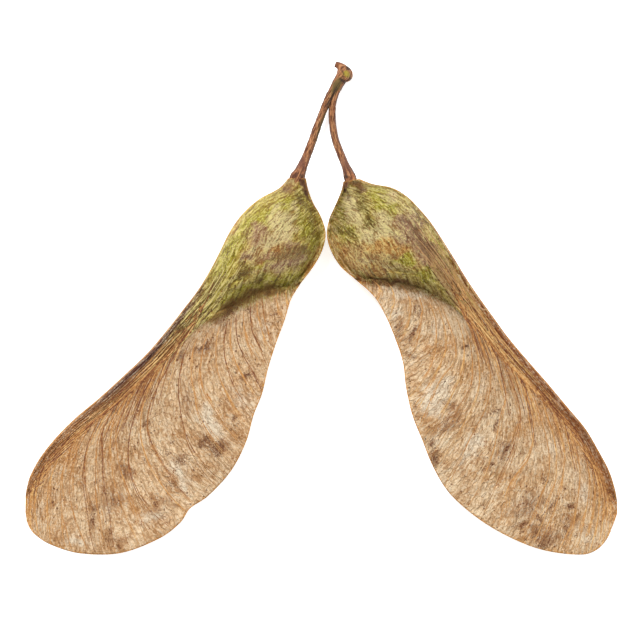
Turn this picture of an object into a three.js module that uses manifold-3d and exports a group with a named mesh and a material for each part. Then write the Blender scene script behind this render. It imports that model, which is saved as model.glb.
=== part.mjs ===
// A pair of maple samaras, the winged seeds of a maple, still joined by their forked stalk.
// The pair lies flat, as picked: on the undersides of both nuts, both wing tips and the
// knob of the stalk. Millimetres, +Z up, +X across the two wings, +Y towards the knob.
// The origin is under the middle of the pair, on the surface that it lies on.
import * as THREE from "three";
import { mergeVertices } from "three/addons/utils/BufferGeometryUtils.js";
import Module from "manifold-3d";

// Driving dimensions
const NUT_HALF_DEPTH = 3.0; // middle of the nut to its upper or lower side
const NUT_MIDDLE_Z = 2.86; // the lower side dips below the surface and is flat there
const TIP_MIDDLE_Z = 0.3;
const TIP_LIFT = 0.94; // under 1 the outermost part of the wing lies flat on the surface
const MEMBRANE_HALF = 0.3; // half the thickness of the thin part of the wing
const SEAM_HALF = 0.45; // half the thickness of the strip where the two nuts met
const SEAM_WIDTH = 0.4;
const SEAM_GROOVE = 0.3;
const NECK_HALF = 0.62; // half the thickness where the nut hangs on the stalk
const VEIN_HALF_WIDTH = 0.17;
const VEIN_HEIGHT = 0.15;
const RIB_HEIGHT = 0.11;
const BUNDLE_HEIGHT = 0.14; // what the massed veins add where they leave the thick edge
const MARGIN_WAVE = 0.22;
const EDGE_ROWS = 14; // rows from the leading edge to the crease or the seam
const WING_ROWS = 11; // rows from the thick edge to the margin
const STALK_SIDES = 10;

// Half the thickness of the ribbed leading edge, and how wide it is, by place along the edge
const BAND = [
  [0, 0.3, 0.6],
  [3, 0.45, 1.2],
  [5, 0.65, 1.8],
  [7, 0.75, 2.2],
  [9, 0.64, 2.1],
  [11, 0.54, 1.9],
  [13, 0.46, 1.6],
  [15, 0.39, 1.2],
  [17, 0.34, 0.8],
  [19, 0.3, 0.4],
];

// Outlines, seen from above. "edge" runs down the leading edge from the stalk to the tip.
// "seam" runs from the stalk down the side where the two nuts met, one point for each of
// the first points of the edge. Each row of "wing" is one line of the wing's veins:
// its place along the edge, then where it leaves the nut's crease or the thick edge,
// the point it bends towards, and where it ends on the margin.
// "nut" is the foot of the swollen part, round "heart", its thickest point.
const LEFT = {
  edge: [
    [-2.95, 11.65], [-3.8, 10.75], [-5.6, 9.75], [-7.1, 8.4], [-8.2, 6.85],
    [-9.1, 5.05], [-10, 3.35], [-11.05, 1.65], [-12.35, -0.05], [-13.85, -1.95],
    [-15.65, -4.05], [-17.75, -6.05], [-20, -8.1], [-22.15, -9.9], [-23.95, -11.7],
    [-25.3, -13.4], [-26.2, -15], [-26.55, -16.1], [-26.7, -17],
  ],
  seam: [
    [-1.35, 11.65], [-1.15, 10.65], [-0.7, 9.45], [0, 8.2], [0.38, 6.7],
    [0.1, 5.15], [-0.7, 3.7], [-1.8, 2.25],
  ],
  wing: [
    [6.3, [-1.8, 2.25], [-1.8, 2.25], [-1.8, 2.25]],
    [6.45, [-2.9, 2], [-2.95, 1.35], [-2.7, 0.75]],
    [6.6, [-3.95, 1.85], [-4.05, 0.3], [-3.25, -1.05]],
    [6.75, [-5.15, 1.55], [-5.3, -1.05], [-4.05, -3.2]],
    [6.92, [-6.2, 1.1], [-6.75, -2.3], [-4.75, -5.4]],
    [7.1, [-7.2, 0.6], [-8.3, -3.75], [-5.3, -7.7]],
    [7.32, [-8.1, 0.1], [-10, -4.65], [-6.05, -9.6]],
    [7.6, [-9.1, -0.45], [-11.95, -5.9], [-6.75, -12.05]],
    [7.98, [-10.7, -1.15], [-15.05, -7.35], [-8.1, -14.65]],
    [9.13, [-12.85, -3.3], [-18.8, -10.25], [-10.15, -16.9]],
    [9.63, [-13.85, -4.35], [-19.35, -11.3], [-11.8, -18.05]],
    [10.0, [-14.6, -5.05], [-20, -11.95], [-12.7, -19.35]],
    [10.5, [-15.65, -6.05], [-21.15, -12.75], [-14.65, -20.8]],
    [11.5, [-17.8, -8.1], [-22.05, -12.95], [-18.1, -22.1]],
    [13.07, [-21.35, -10.9], [-23.65, -14.4], [-21.7, -22.15]],
    [14.55, [-24, -13.1], [-25.55, -16.2], [-24.4, -21.35]],
    [16.03, [-25.6, -15.3], [-26.3, -17.8], [-25.85, -20.4]],
    [17.1, [-26.05, -16.25], [-26.45, -17.9], [-26.45, -19.5]],
    [18.0, [-26.5, -17.05], [-26.65, -17.7], [-26.7, -18.45]],
  ],
  veins: [
    1, 1.9, 2.7, 3.4, 4.1, 4.8, 5.5, 6.1, 6.8, 7.5, 8, 8.4, 9, 9.6, 10.5, 11.4, 12, 12.5,
    13, 13.35, 13.7, 14.05, 14.45, 14.9, 15.4, 16.1,
  ],
  heart: [-4.5, 5.85],
  nut: [
    [-2.05, 11.3], [-1.2, 9.95], [-0.45, 8.4], [-0.05, 6.8], [-0.3, 5.25], [-1.05, 4],
    [-2.1, 2.75], [-3.4, 2.1], [-5.05, 1.9], [-6.6, 1.4], [-8.05, 0.5], [-9.6, -0.6],
    [-10.5, 0.1], [-10.35, 2], [-9.65, 3.8], [-8.9, 5.35], [-8.1, 6.8], [-7, 8.35],
    [-5.5, 9.7], [-3.7, 10.7],
  ],
};
const RIGHT = {
  edge: [
    [3.45, 11.6], [4.65, 11.15], [6.4, 10.8], [7.75, 10], [8.9, 8.85], [9.9, 7.65],
    [10.9, 6.15], [11.95, 4.5], [13.05, 2.7], [14.2, 1], [15.5, -0.8], [16.9, -2.7],
    [18.65, -4.75], [20.45, -6.8], [22.3, -9], [23.85, -10.85], [25.1, -12.95],
    [26, -14.65], [26.55, -16.35], [26.75, -17.45],
  ],
  seam: [
    [2, 11.35], [1.85, 10.65], [1.55, 9.85], [1.1, 8.85], [0.72, 7.95], [0.58, 6.7],
    [0.8, 5.35], [1.7, 3.8], [3.05, 2.6],
  ],
  wing: [
    [7.1, [3.05, 2.6], [3.05, 2.6], [3.05, 2.6]],
    [7.25, [4.6, 2.65], [4.95, 1.75], [4.7, 1.1]],
    [7.42, [6.05, 2.55], [6.95, 0.9], [5.75, -0.6]],
    [7.6, [7.4, 2.25], [9.45, -0.35], [6.65, -2.7]],
    [7.82, [8.75, 1.9], [11.45, -2.3], [7.35, -4.85]],
    [8.1, [9.8, 1.45], [13.25, -3.4], [7.65, -7.2]],
    [8.42, [10.8, 0.95], [14.65, -4.5], [8.2, -9.6]],
    [8.82, [11.7, 0.4], [15.65, -5.75], [9.1, -11.85]],
    [9.4, [12.7, -0.55], [16.85, -7.2], [10.1, -14.3]],
    [10.1, [14.05, -2], [18.35, -9.35], [11.6, -16.7]],
    [11.1, [15.95, -4.15], [20.15, -11.85], [14.15, -18.95]],
    [12.2, [18.1, -6.35], [21.5, -13.85], [17.1, -20.7]],
    [13.35, [20.35, -8.6], [23.5, -15.3], [20.15, -21.85]],
    [14.9, [23.15, -11.3], [25.1, -16.55], [23.3, -22.25]],
    [16.2, [24.5, -13.8], [25.9, -17.55], [24.75, -21.9]],
    [17.2, [25.4, -15.45], [26.3, -17.9], [25.75, -20.95]],
    [18.1, [25.95, -16.55], [26.45, -18], [26.35, -19.6]],
    [19.0, [26.5, -17.5], [26.7, -18], [26.75, -18.5]],
  ],
  veins: [
    1, 2, 2.9, 3.5, 4.1, 4.8, 5.5, 6.1, 6.7, 7.3, 8, 8.4, 8.8, 9.4, 10, 10.35, 10.7, 11.05,
    11.4, 11.8, 12.15, 12.5, 12.85, 13.2, 13.7, 14.4, 15.3,
  ],
  heart: [5.6, 6.3],
  nut: [
    [2.9, 11.15], [2.05, 10.4], [1.5, 9.05], [1.1, 7.75], [1, 6.6], [1.2, 5.45],
    [2, 4.15], [3.25, 3], [4.65, 2.72], [6.2, 2.5], [7.85, 2.2], [9.35, 1.7],
    [10.9, 0.95], [12.2, 0], [12.95, 0.6], [12.9, 2], [12.2, 3.65], [11.4, 5.05],
    [10.65, 6.15], [9.75, 7.6], [8.75, 8.8], [7.6, 9.9], [6.35, 10.65], [4.9, 11.05],
  ],
};

// Centre lines of the forked stalk, from the knob down, each point with its radius
const STALK_LEFT = [
  [1.95, 21.1, 1.05, 0.5], [1.42, 20.3, 1.08, 0.42], [1.0, 19.55, 1.12, 0.36],
  [0.55, 18.65, 1.2, 0.34], [0, 17.25, 1.38, 0.34], [-0.77, 15.1, 1.75, 0.37],
  [-1.44, 13.3, 2.3, 0.41], [-1.87, 12.25, 2.72, 0.58], [-2.06, 11.95, 2.83, 0.7],
];
const STALK_RIGHT = [
  [2.1, 21.0, 0.95, 0.45], [1.62, 20.1, 0.95, 0.38], [1.22, 19.15, 0.97, 0.32],
  [1.03, 18.2, 1.02, 0.31], [1.0, 17.15, 1.15, 0.31], [1.12, 16.0, 1.4, 0.31],
  [1.38, 14.85, 1.7, 0.32], [1.8, 13.75, 2.15, 0.34], [2.2, 12.75, 2.55, 0.4],
  [2.4, 12.3, 2.72, 0.52], [2.6, 12.0, 2.83, 0.66],
];
const SPUR = [
  [2.0, 21.55, 0.9, 0.45], [1.6, 21.9, 1.0, 0.3], [1.3, 22.05, 1.05, 0.24],
];
const KNOB = { at: [2.12, 21.12, 0.76], radius: 0.75, lumps: 0.05 };

const NUT_GREEN = 0xa3a04a;
const WING_TAN = 0xd7b889;
const STALK_BROWN = 0x8f6248;

const wasm = await Module();
wasm.setup();

const clamp01 = (v) => Math.min(1, Math.max(0, v));
const ease = (from, to, v) => {
  const x = clamp01((v - from) / (to - from));
  return x * x * (3 - 2 * x);
};
const mix = (a, b, share) => a.map((v, i) => v + (b[i] - v) * share);
const distance = (a, b) => Math.hypot(a[0] - b[0], a[1] - b[1]);

// The point at "place" on a smooth curve through the points, one unit from each to the next
function along(points, place) {
  const last = points.length - 1;
  const i = Math.min(Math.max(Math.floor(place), 0), last - 1);
  const f = place - i;
  const at = (k) => {
    if (k < 0) return mix(points[1], points[0], 2);
    if (k > last) return mix(points[last - 1], points[last], 2);
    return points[k];
  };
  const [a, b, c, d] = [at(i - 1), at(i), at(i + 1), at(i + 2)];
  return b.map((v, k) => {
    const bend = 2 * a[k] - 5 * v + 4 * c[k] - d[k];
    const turn = 3 * v - a[k] - 3 * c[k] + d[k];
    return 0.5 * (2 * v + (c[k] - a[k]) * f + bend * f * f + turn * f * f * f);
  });
}

// Value of a short table, its first column the place, read along straight lines
function fromTable(table, place, column) {
  const i = table.findIndex((row) => row[0] > place);
  if (i < 0) return table[table.length - 1][column];
  if (i === 0) return table[0][column];
  const [before, after] = [table[i - 1], table[i]];
  const share = (place - before[0]) / (after[0] - before[0]);
  return before[column] + (after[column] - before[column]) * share;
}

// How far a place is from the heart of the nut, as a share of the way to the nut's foot
function nutShare(samara, foot, place) {
  const dx = place[0] - samara.heart[0];
  const dy = place[1] - samara.heart[1];
  for (let i = 0; i < foot.length; i++) {
    const a = foot[i];
    const b = foot[(i + 1) % foot.length];
    const ax = a[0] - samara.heart[0];
    const ay = a[1] - samara.heart[1];
    const ex = b[0] - a[0];
    const ey = b[1] - a[1];
    const cross = dx * ey - dy * ex;
    if (Math.abs(cross) < 1e-12) continue;
    const reach = (ax * ey - ay * ex) / cross;
    const onSide = (ax * dy - ay * dx) / cross;
    if (reach > 0 && onSide >= 0 && onSide <= 1) return 1 / reach;
  }
  return 0;
}

// The nut's foot as a closed smooth curve, in short straight pieces
function footOf(samara) {
  const count = samara.nut.length;
  const ring = [...samara.nut.slice(-2), ...samara.nut, ...samara.nut.slice(0, 2)];
  const pieces = 6;
  return Array.from({ length: count * pieces }, (_, i) => along(ring, 2 + i / pieces));
}

// Height of the wing's middle above the surface: level at the nut, falling to the tip
function middleHeight(samara, place) {
  const tip = samara.edge[samara.edge.length - 1];
  const length = distance(tip, samara.heart) * TIP_LIFT;
  const reach =
    ((place[0] - samara.heart[0]) * (tip[0] - samara.heart[0]) +
      (place[1] - samara.heart[1]) * (tip[1] - samara.heart[1])) /
    distance(tip, samara.heart);
  const fall = reach > 0 ? (reach * reach) / (reach + 1.5) / length : 0;
  return NUT_MIDDLE_Z + (TIP_MIDDLE_Z - NUT_MIDDLE_Z) * Math.min(fall, 1);
}

// Thicknesses that run into each other, as a rounded greater of the two or three
const blend = (...parts) => Math.pow(parts.reduce((sum, p) => sum + p ** 4, 0), 1 / 4);

// One column of the nut and the thick leading edge: from the edge to the seam or the crease
function edgeColumn(samara, foot, place, inner, isNut) {
  const outer = along(samara.edge, place);
  const width = distance(outer, inner);
  const bandHalf = fromTable(BAND, place, 1);
  const bandWidth = Math.min(width, fromTable(BAND, place, 2));
  const even = ease(6.5, 9, place);
  const column = [];
  for (let row = 0; row <= EDGE_ROWS; row++) {
    const w = row / EDGE_ROWS;
    const share = (1 - even) * 0.5 * (1 - Math.cos(Math.PI * w)) + even * w;
    const at = mix(outer, inner, share);
    const fromEdge = share * width;
    const toSeam = (1 - share) * width;
    const swell = NUT_HALF_DEPTH * (1 - clamp01(nutShare(samara, foot, at)) ** 2.2) ** 0.6;
    const onBand = clamp01(fromEdge / bandWidth) ** 0.6;
    const band = bandHalf * Math.sin(Math.PI * onBand);
    const across = Math.sqrt(clamp01(1 - (2 * share - 1) ** 2));
    const neck = NECK_HALF * across * (1 - ease(0.5, 2.6, place));
    const seam = isNut ? SEAM_HALF * (1 - ease(0, SEAM_WIDTH, toSeam)) : 0;
    let half = blend(MEMBRANE_HALF, swell, band, neck, seam);
    if (isNut && toSeam > 0) {
      const groove = 1 - Math.abs(toSeam - 1.4 * SEAM_WIDTH) / (0.9 * SEAM_WIDTH);
      half -= SEAM_GROOVE * clamp01(groove) * ease(0.6, 2, place);
    }
    const ribbed = ease(1.5, 5.5, place) * (1 - ease(0.5, 0.75, share) * (1 - even));
    const fade = 1 - 0.6 * ease(11, 18, place);
    if (row % 2 === 1) half += RIB_HEIGHT * ribbed * fade;
    column.push({ at, half, wave: 0 });
  }
  return column;
}

// One line of the wing's veins at "place", from the crease or the thick edge to the margin
function veinLine(samara, place) {
  const [start, bend, end] = [1, 2, 3].map((k) => along(samara.wing.map((r) => r[k]), place));
  return (u) => start.map((v, k) => v * (1 - u) ** 2 + bend[k] * 2 * u * (1 - u) + end[k] * u * u);
}

// A ridge column at "place", beside or on a vein: "side" is -1, 0 or 1
function wingColumn(samara, vein, side, first) {
  const line = veinLine(samara, vein);
  const spacing = distance(veinLine(samara, vein + 0.1)(0.5), line(0.5)) / 0.1;
  const aside = (side * VEIN_HALF_WIDTH) / spacing;
  const column = [first];
  for (let row = 1; row <= WING_ROWS; row++) {
    const u = row / WING_ROWS;
    const at = veinLine(samara, vein + aside * ease(0, 0.3, u))(u);
    const ridge = side === 0 ? VEIN_HEIGHT * ease(0, 0.12, u) * (1 - u) ** 0.7 : 0;
    const wave = MARGIN_WAVE * u * u * Math.sin(1.15 * vein + 0.6);
    column.push({ at, half: MEMBRANE_HALF + BUNDLE_HEIGHT * (1 - u) ** 7 + ridge, wave });
  }
  return column;
}

// The closed skin of one samara: the same grid above and below, joined round the outline
function samaraGeometry(samara) {
  const foot = footOf(samara);
  const nutEnd = samara.seam.length - 1;
  const points = [];
  const idOf = (point) => {
    if (point.id === undefined) {
      point.id = points.length;
      points.push(point);
    }
    return point.id;
  };
  const faces = [];
  const strip = (one, two) => {
    for (let row = 0; row + 1 < one.length; row++) {
      const [a, b, c, d] = [one[row], two[row], two[row + 1], one[row + 1]].map(idOf);
      if (a !== b && b !== c && c !== a) faces.push([a, b, c]);
      if (a !== c && c !== d && d !== a) faces.push([a, c, d]);
    }
  };

  const nutPlaces = [0, 0.5, 1, 1.5, 2, 2.5, 3, 3.5, 4, 4.5, 5, 5.4, 5.8, 6.2, 6.5, 6.75, 7];
  if (nutEnd > 7) nutPlaces.push(7.3, 7.65, 8);
  const edgeEnd = samara.wing[0][0];
  const columns = nutPlaces.map((place) => {
    const onEdge = (place * edgeEnd) / nutEnd;
    return edgeColumn(samara, foot, onEdge, along(samara.seam, place), true);
  });
  const corner = columns[columns.length - 1][EDGE_ROWS];
  let lastWing = new Array(WING_ROWS + 1).fill(corner);
  const wingColumns = [];
  const edgePlaces = samara.wing.map((r) => [r[0]]);
  const last = samara.wing.length - 1;
  for (const vein of [...samara.veins, last]) {
    const start = along(samara.wing.map((r) => r[1]), vein);
    const onEdge = along(edgePlaces, vein)[0];
    const column = edgeColumn(samara, foot, onEdge, start, false);
    columns.push(column);
    const sides = vein === last ? [0] : [-1, 0, 1];
    for (const side of sides) {
      wingColumns.push(wingColumn(samara, vein, side, column[EDGE_ROWS]));
    }
  }
  columns.slice(1).forEach((column, i) => strip(columns[i], column));
  for (const column of wingColumns) {
    strip(lastWing, column);
    lastWing = column;
  }

  // Face up: the grid turns the other way round on the right-hand samara
  const area = faces.reduce((sum, [a, b, c]) => {
    const [p, q, r] = [points[a].at, points[b].at, points[c].at];
    return sum + (q[0] - p[0]) * (r[1] - p[1]) - (r[0] - p[0]) * (q[1] - p[1]);
  }, 0);
  if (area < 0) faces.forEach((face) => face.reverse());

  const count = points.length;
  const position = new Float32Array(count * 6);
  points.forEach(({ at, half, wave }, i) => {
    const middle = Math.max(middleHeight(samara, at) + wave, MEMBRANE_HALF);
    position.set([at[0], at[1], middle + half], i * 3);
    position.set([at[0], at[1], Math.max(middle - half, 0)], (count + i) * 3);
  });
  const index = [];
  const sides = new Map();
  for (const [a, b, c] of faces) {
    index.push(a, b, c, count + a, count + c, count + b);
    for (const [from, to] of [[a, b], [b, c], [c, a]]) sides.set(from + "," + to, [from, to]);
  }
  for (const [from, to] of sides.values()) {
    if (sides.has(to + "," + from)) continue;
    index.push(from, count + from, to, to, count + from, count + to);
  }
  return new THREE.BufferGeometry()
    .setAttribute("position", new THREE.BufferAttribute(position, 3))
    .setIndex(index);
}

// A round limb along a centre line, closed at both ends
function limb(points, sides, steps) {
  const rings = [];
  const up = new THREE.Vector3(0, 0, 1);
  for (let i = 0; i <= steps; i++) {
    const place = (i / steps) * (points.length - 1);
    const [x, y, z, radius] = along(points, place);
    const [ahead, behind] = [along(points, place + 0.01), along(points, place - 0.01)];
    const way = new THREE.Vector3(...ahead.map((v, k) => v - behind[k]).slice(0, 3)).normalize();
    const side = new THREE.Vector3().crossVectors(way, up).normalize();
    const top = new THREE.Vector3().crossVectors(side, way);
    rings.push({ x, y, z, radius, side, top });
  }
  const position = [];
  for (const { x, y, z, radius, side, top } of rings) {
    for (let k = 0; k < sides; k++) {
      const turn = (k / sides) * 2 * Math.PI;
      const out = side.clone().multiplyScalar(Math.cos(turn) * radius);
      out.addScaledVector(top, Math.sin(turn) * radius);
      position.push(x + out.x, y + out.y, Math.max(0, z + out.z));
    }
  }
  const index = [];
  for (let i = 0; i < steps; i++) {
    for (let k = 0; k < sides; k++) {
      const a = i * sides + k;
      const b = i * sides + ((k + 1) % sides);
      index.push(a, a + sides, b, b, a + sides, b + sides);
    }
  }
  for (const end of [0, steps]) {
    const { x, y, z } = rings[end];
    const middle = position.length / 3;
    position.push(x, y, z);
    for (let k = 0; k < sides; k++) {
      const a = end * sides + k;
      const b = end * sides + ((k + 1) % sides);
      index.push(...(end === 0 ? [middle, a, b] : [middle, b, a]));
    }
  }
  return new THREE.BufferGeometry()
    .setAttribute("position", new THREE.Float32BufferAttribute(position, 3))
    .setIndex(index);
}

// The lumpy knob where the stalk broke off its twig
function knobGeometry() {
  const geometry = new THREE.SphereGeometry(KNOB.radius, 18, 12);
  const position = geometry.attributes.position;
  const point = new THREE.Vector3();
  for (let i = 0; i < position.count; i++) {
    point.fromBufferAttribute(position, i);
    const lump = Math.sin(7 * point.x + 1) * Math.cos(6 * point.y) + Math.sin(8 * point.z);
    point.multiplyScalar(1 + (KNOB.lumps * lump) / KNOB.radius);
    position.setXYZ(
      i,
      KNOB.at[0] + point.x,
      KNOB.at[1] + point.y,
      Math.max(0, KNOB.at[2] + point.z),
    );
  }
  return geometry;
}

function toSolid(geometry) {
  const bare = geometry.clone();
  bare.deleteAttribute("normal");
  bare.deleteAttribute("uv");
  const merged = mergeVertices(bare, 1e-4);
  return new wasm.Manifold(
    new wasm.Mesh({
      numProp: 3,
      vertProperties: new Float32Array(merged.attributes.position.array),
      triVerts: new Uint32Array(merged.index.array),
    }),
  );
}

function fromSolid(solid) {
  const mesh = solid.getMesh();
  const position = new Float32Array(mesh.numVert * 3);
  for (let i = 0; i < mesh.numVert; i++) {
    const from = i * mesh.numProp;
    position.set(mesh.vertProperties.subarray(from, from + 3), i * 3);
  }
  return new THREE.BufferGeometry()
    .setAttribute("position", new THREE.BufferAttribute(position, 3))
    .setIndex(new THREE.BufferAttribute(mesh.triVerts, 1));
}

function stalkGeometry() {
  const pieces = [
    limb(STALK_LEFT, STALK_SIDES, 22),
    limb(STALK_RIGHT, STALK_SIDES, 24),
    limb(SPUR, STALK_SIDES, 4),
    knobGeometry(),
  ].map(toSolid);
  return fromSolid(pieces.reduce((whole, piece) => whole.add(piece)));
}

function namedMesh(name, geometry, color, roughness) {
  geometry.computeVertexNormals();
  const material = new THREE.MeshStandardMaterial({ color, roughness, metalness: 0 });
  const mesh = new THREE.Mesh(geometry, material);
  mesh.name = name;
  return mesh;
}

const pair = new THREE.Group();
pair.add(
  namedMesh("samara_left", samaraGeometry(LEFT), WING_TAN, 0.75),
  namedMesh("samara_right", samaraGeometry(RIGHT), WING_TAN, 0.75),
  namedMesh("stalk", stalkGeometry(), STALK_BROWN, 0.8),
);
export default pair;
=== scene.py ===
# A pair of dry maple samaras, joined by their forked stalk, lying on a pale surface.
import math
from types import SimpleNamespace

import bmesh
import bpy
import numpy as np
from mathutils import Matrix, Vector
from mathutils.bvhtree import BVHTree
from mathutils.kdtree import KDTree


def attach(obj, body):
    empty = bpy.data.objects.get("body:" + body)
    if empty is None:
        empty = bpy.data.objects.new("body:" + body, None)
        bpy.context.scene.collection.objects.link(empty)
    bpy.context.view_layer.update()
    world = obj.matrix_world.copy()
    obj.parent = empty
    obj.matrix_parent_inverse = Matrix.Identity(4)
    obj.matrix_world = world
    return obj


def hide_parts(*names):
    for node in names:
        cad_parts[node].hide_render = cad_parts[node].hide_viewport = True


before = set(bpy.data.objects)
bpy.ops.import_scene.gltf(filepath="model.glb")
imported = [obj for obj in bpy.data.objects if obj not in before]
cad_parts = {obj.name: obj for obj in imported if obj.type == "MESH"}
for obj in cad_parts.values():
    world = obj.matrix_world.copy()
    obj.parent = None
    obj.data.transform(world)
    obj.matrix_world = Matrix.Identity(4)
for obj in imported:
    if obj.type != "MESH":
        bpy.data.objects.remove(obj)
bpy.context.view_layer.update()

MM = 0.001

# Sizes in millimetres, unless a comment says otherwise
NUT_HALF_DEPTH = 2.94
NUT_MIDDLE_Z = 2.86  # height of the nuts' middle above the surface
NUT_LUMP = 0.09
NUT_BELLY = 2.2  # power of the nut's outline from its heart to its foot
NUT_SHOULDER = 0.66  # power that rounds the nut off at its foot
NUT_DRAWN_OUT = 0.9  # what is added to that power where the nut runs out along the edge
LEVEL_REACH = 1.5  # how far round the heart the middle stays nearly level
TIP_MIDDLE_Z = 0.1
TIP_LIFT = 0.94  # share of the way to the tip after which the wing lies level again
MEMBRANE_HALF = 0.06  # half the thickness of the thin skin
RIM_HALF = 0.03  # half the thickness of the thinnest rim
SEAM_HALF = 0.42
SEAM_WIDTH = 0.45
NECK_HALF = 0.62
RIB_COUNT = 7
RIB_HEIGHT = 0.12
FIBRE_HEIGHT = 0.05
FINE_FIBRE_HEIGHT = 0.03
BUNDLE_HEIGHT = 0.16  # what the massed veins add where they leave the thick edge
MARGIN_WAVE = 0.2
PUCKER = 0.05
FINE_PUCKER = 0.035
VEIN_RADIUS = 0.078  # at the start of a main vein
VEIN_TAPER = 0.018
EDGE_VEIN_RADIUS = 0.06  # of a main vein where it comes down the thick edge
FORK_RADIUS = 0.066
FINE_VEIN_RADIUS = 0.0585
VEIN_DEPTH = 0.055  # how deep the middle of a vein lies under the skin's top
VEIN_END = 0.985  # how far out to the margin the veins run, as a share of the way
STRAND_SINK = 0.65  # how deep a strand's middle lies, as a share of its radius
KNOB_RADIUS = 0.75
KNOB_LUMP = 0.07
STALK_RIDGE = 0.028
STALK_LUMP = 0.02
STALK_GRAIN = 0.05  # size of the small cubes in which the stalk's limbs are grown together

# Half the thickness of the ribbed leading edge, and how wide it is, by place along the edge
BAND = [
    (0, 0.2, 0.6), (3, 0.42, 1.2), (5, 0.6, 1.8), (7, 0.66, 2.2), (9, 0.47, 2.1),
    (11, 0.34, 1.9), (13, 0.26, 1.6), (15, 0.19, 1.2), (17, 0.13, 0.8), (19, 0.1, 0.4),
]

# Fineness of the meshes
EDGE_ROWS = 61
WING_ROWS = 85
NUT_COLUMNS = 76
WING_COLUMNS = 262

# Strands of the thick edge: those that fan out into the wing, and those of the neck
FAN_STRANDS = 90
NECK_STRANDS = 30

# Patches of colour, and how far they stray from plain ovals
PATCHES = ("tan", "lime", "pale", "mauve", "gold", "olive", "umber", "purple", "dark", "moss")
SAMARA_WARP = 0.34
STALK_WARP = 0.1

ALBEDO = 0.86  # how much of the light the palest surfaces give back
LAST_PLACE = 19.0  # the colours of the thick edge are laid out from place 0 to this

# The stage, in metres
SURFACE_HALF = 0.6
CAMERA = (-0.00009, -0.00106, 0.4015)
LENS_MM = 250

# Patches of colour on the stalk
STALK_PATCHES = {
    "olive": [
        (1.26, 19.8, 0.3, 0.8, -28, 0.9), (0.1, 16.6, 0.2, 2.6, -20, 0.55),
        (1.5, 20.3, 0.3, 0.5, -28, 0.8),
    ],
    "moss": [(2.25, 21.1, 0.3, 0.26, 0, 1)],
    "purple": [(-1.7, 13.0, 0.5, 0.8, -15, 0.7), (2.2, 12.9, 0.5, 0.8, 20, 0.7)],
    "dark": [
        (2.5, 21.6, 0.25, 0.2, -35, 0.9), (1.9, 20.5, 0.35, 0.14, -25, 1),
        (1.95, 21.3, 0.1, 0.4, 15, 0.6), (2.55, 20.8, 0.15, 0.2, 0, 0.7),
        # The long thin oval is a painted shadow line where the right strand passes behind the left one
        (0.98, 19.0, 0.11, 1.1, -24, 1),
        (-1.7, 11.8, 0.25, 0.3, 0, 0.9), (2.15, 11.7, 0.3, 0.25, 0, 0.8),
        (1.1, 22, 0.12, 0.15, 0, 0.8),
    ],
}

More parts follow.
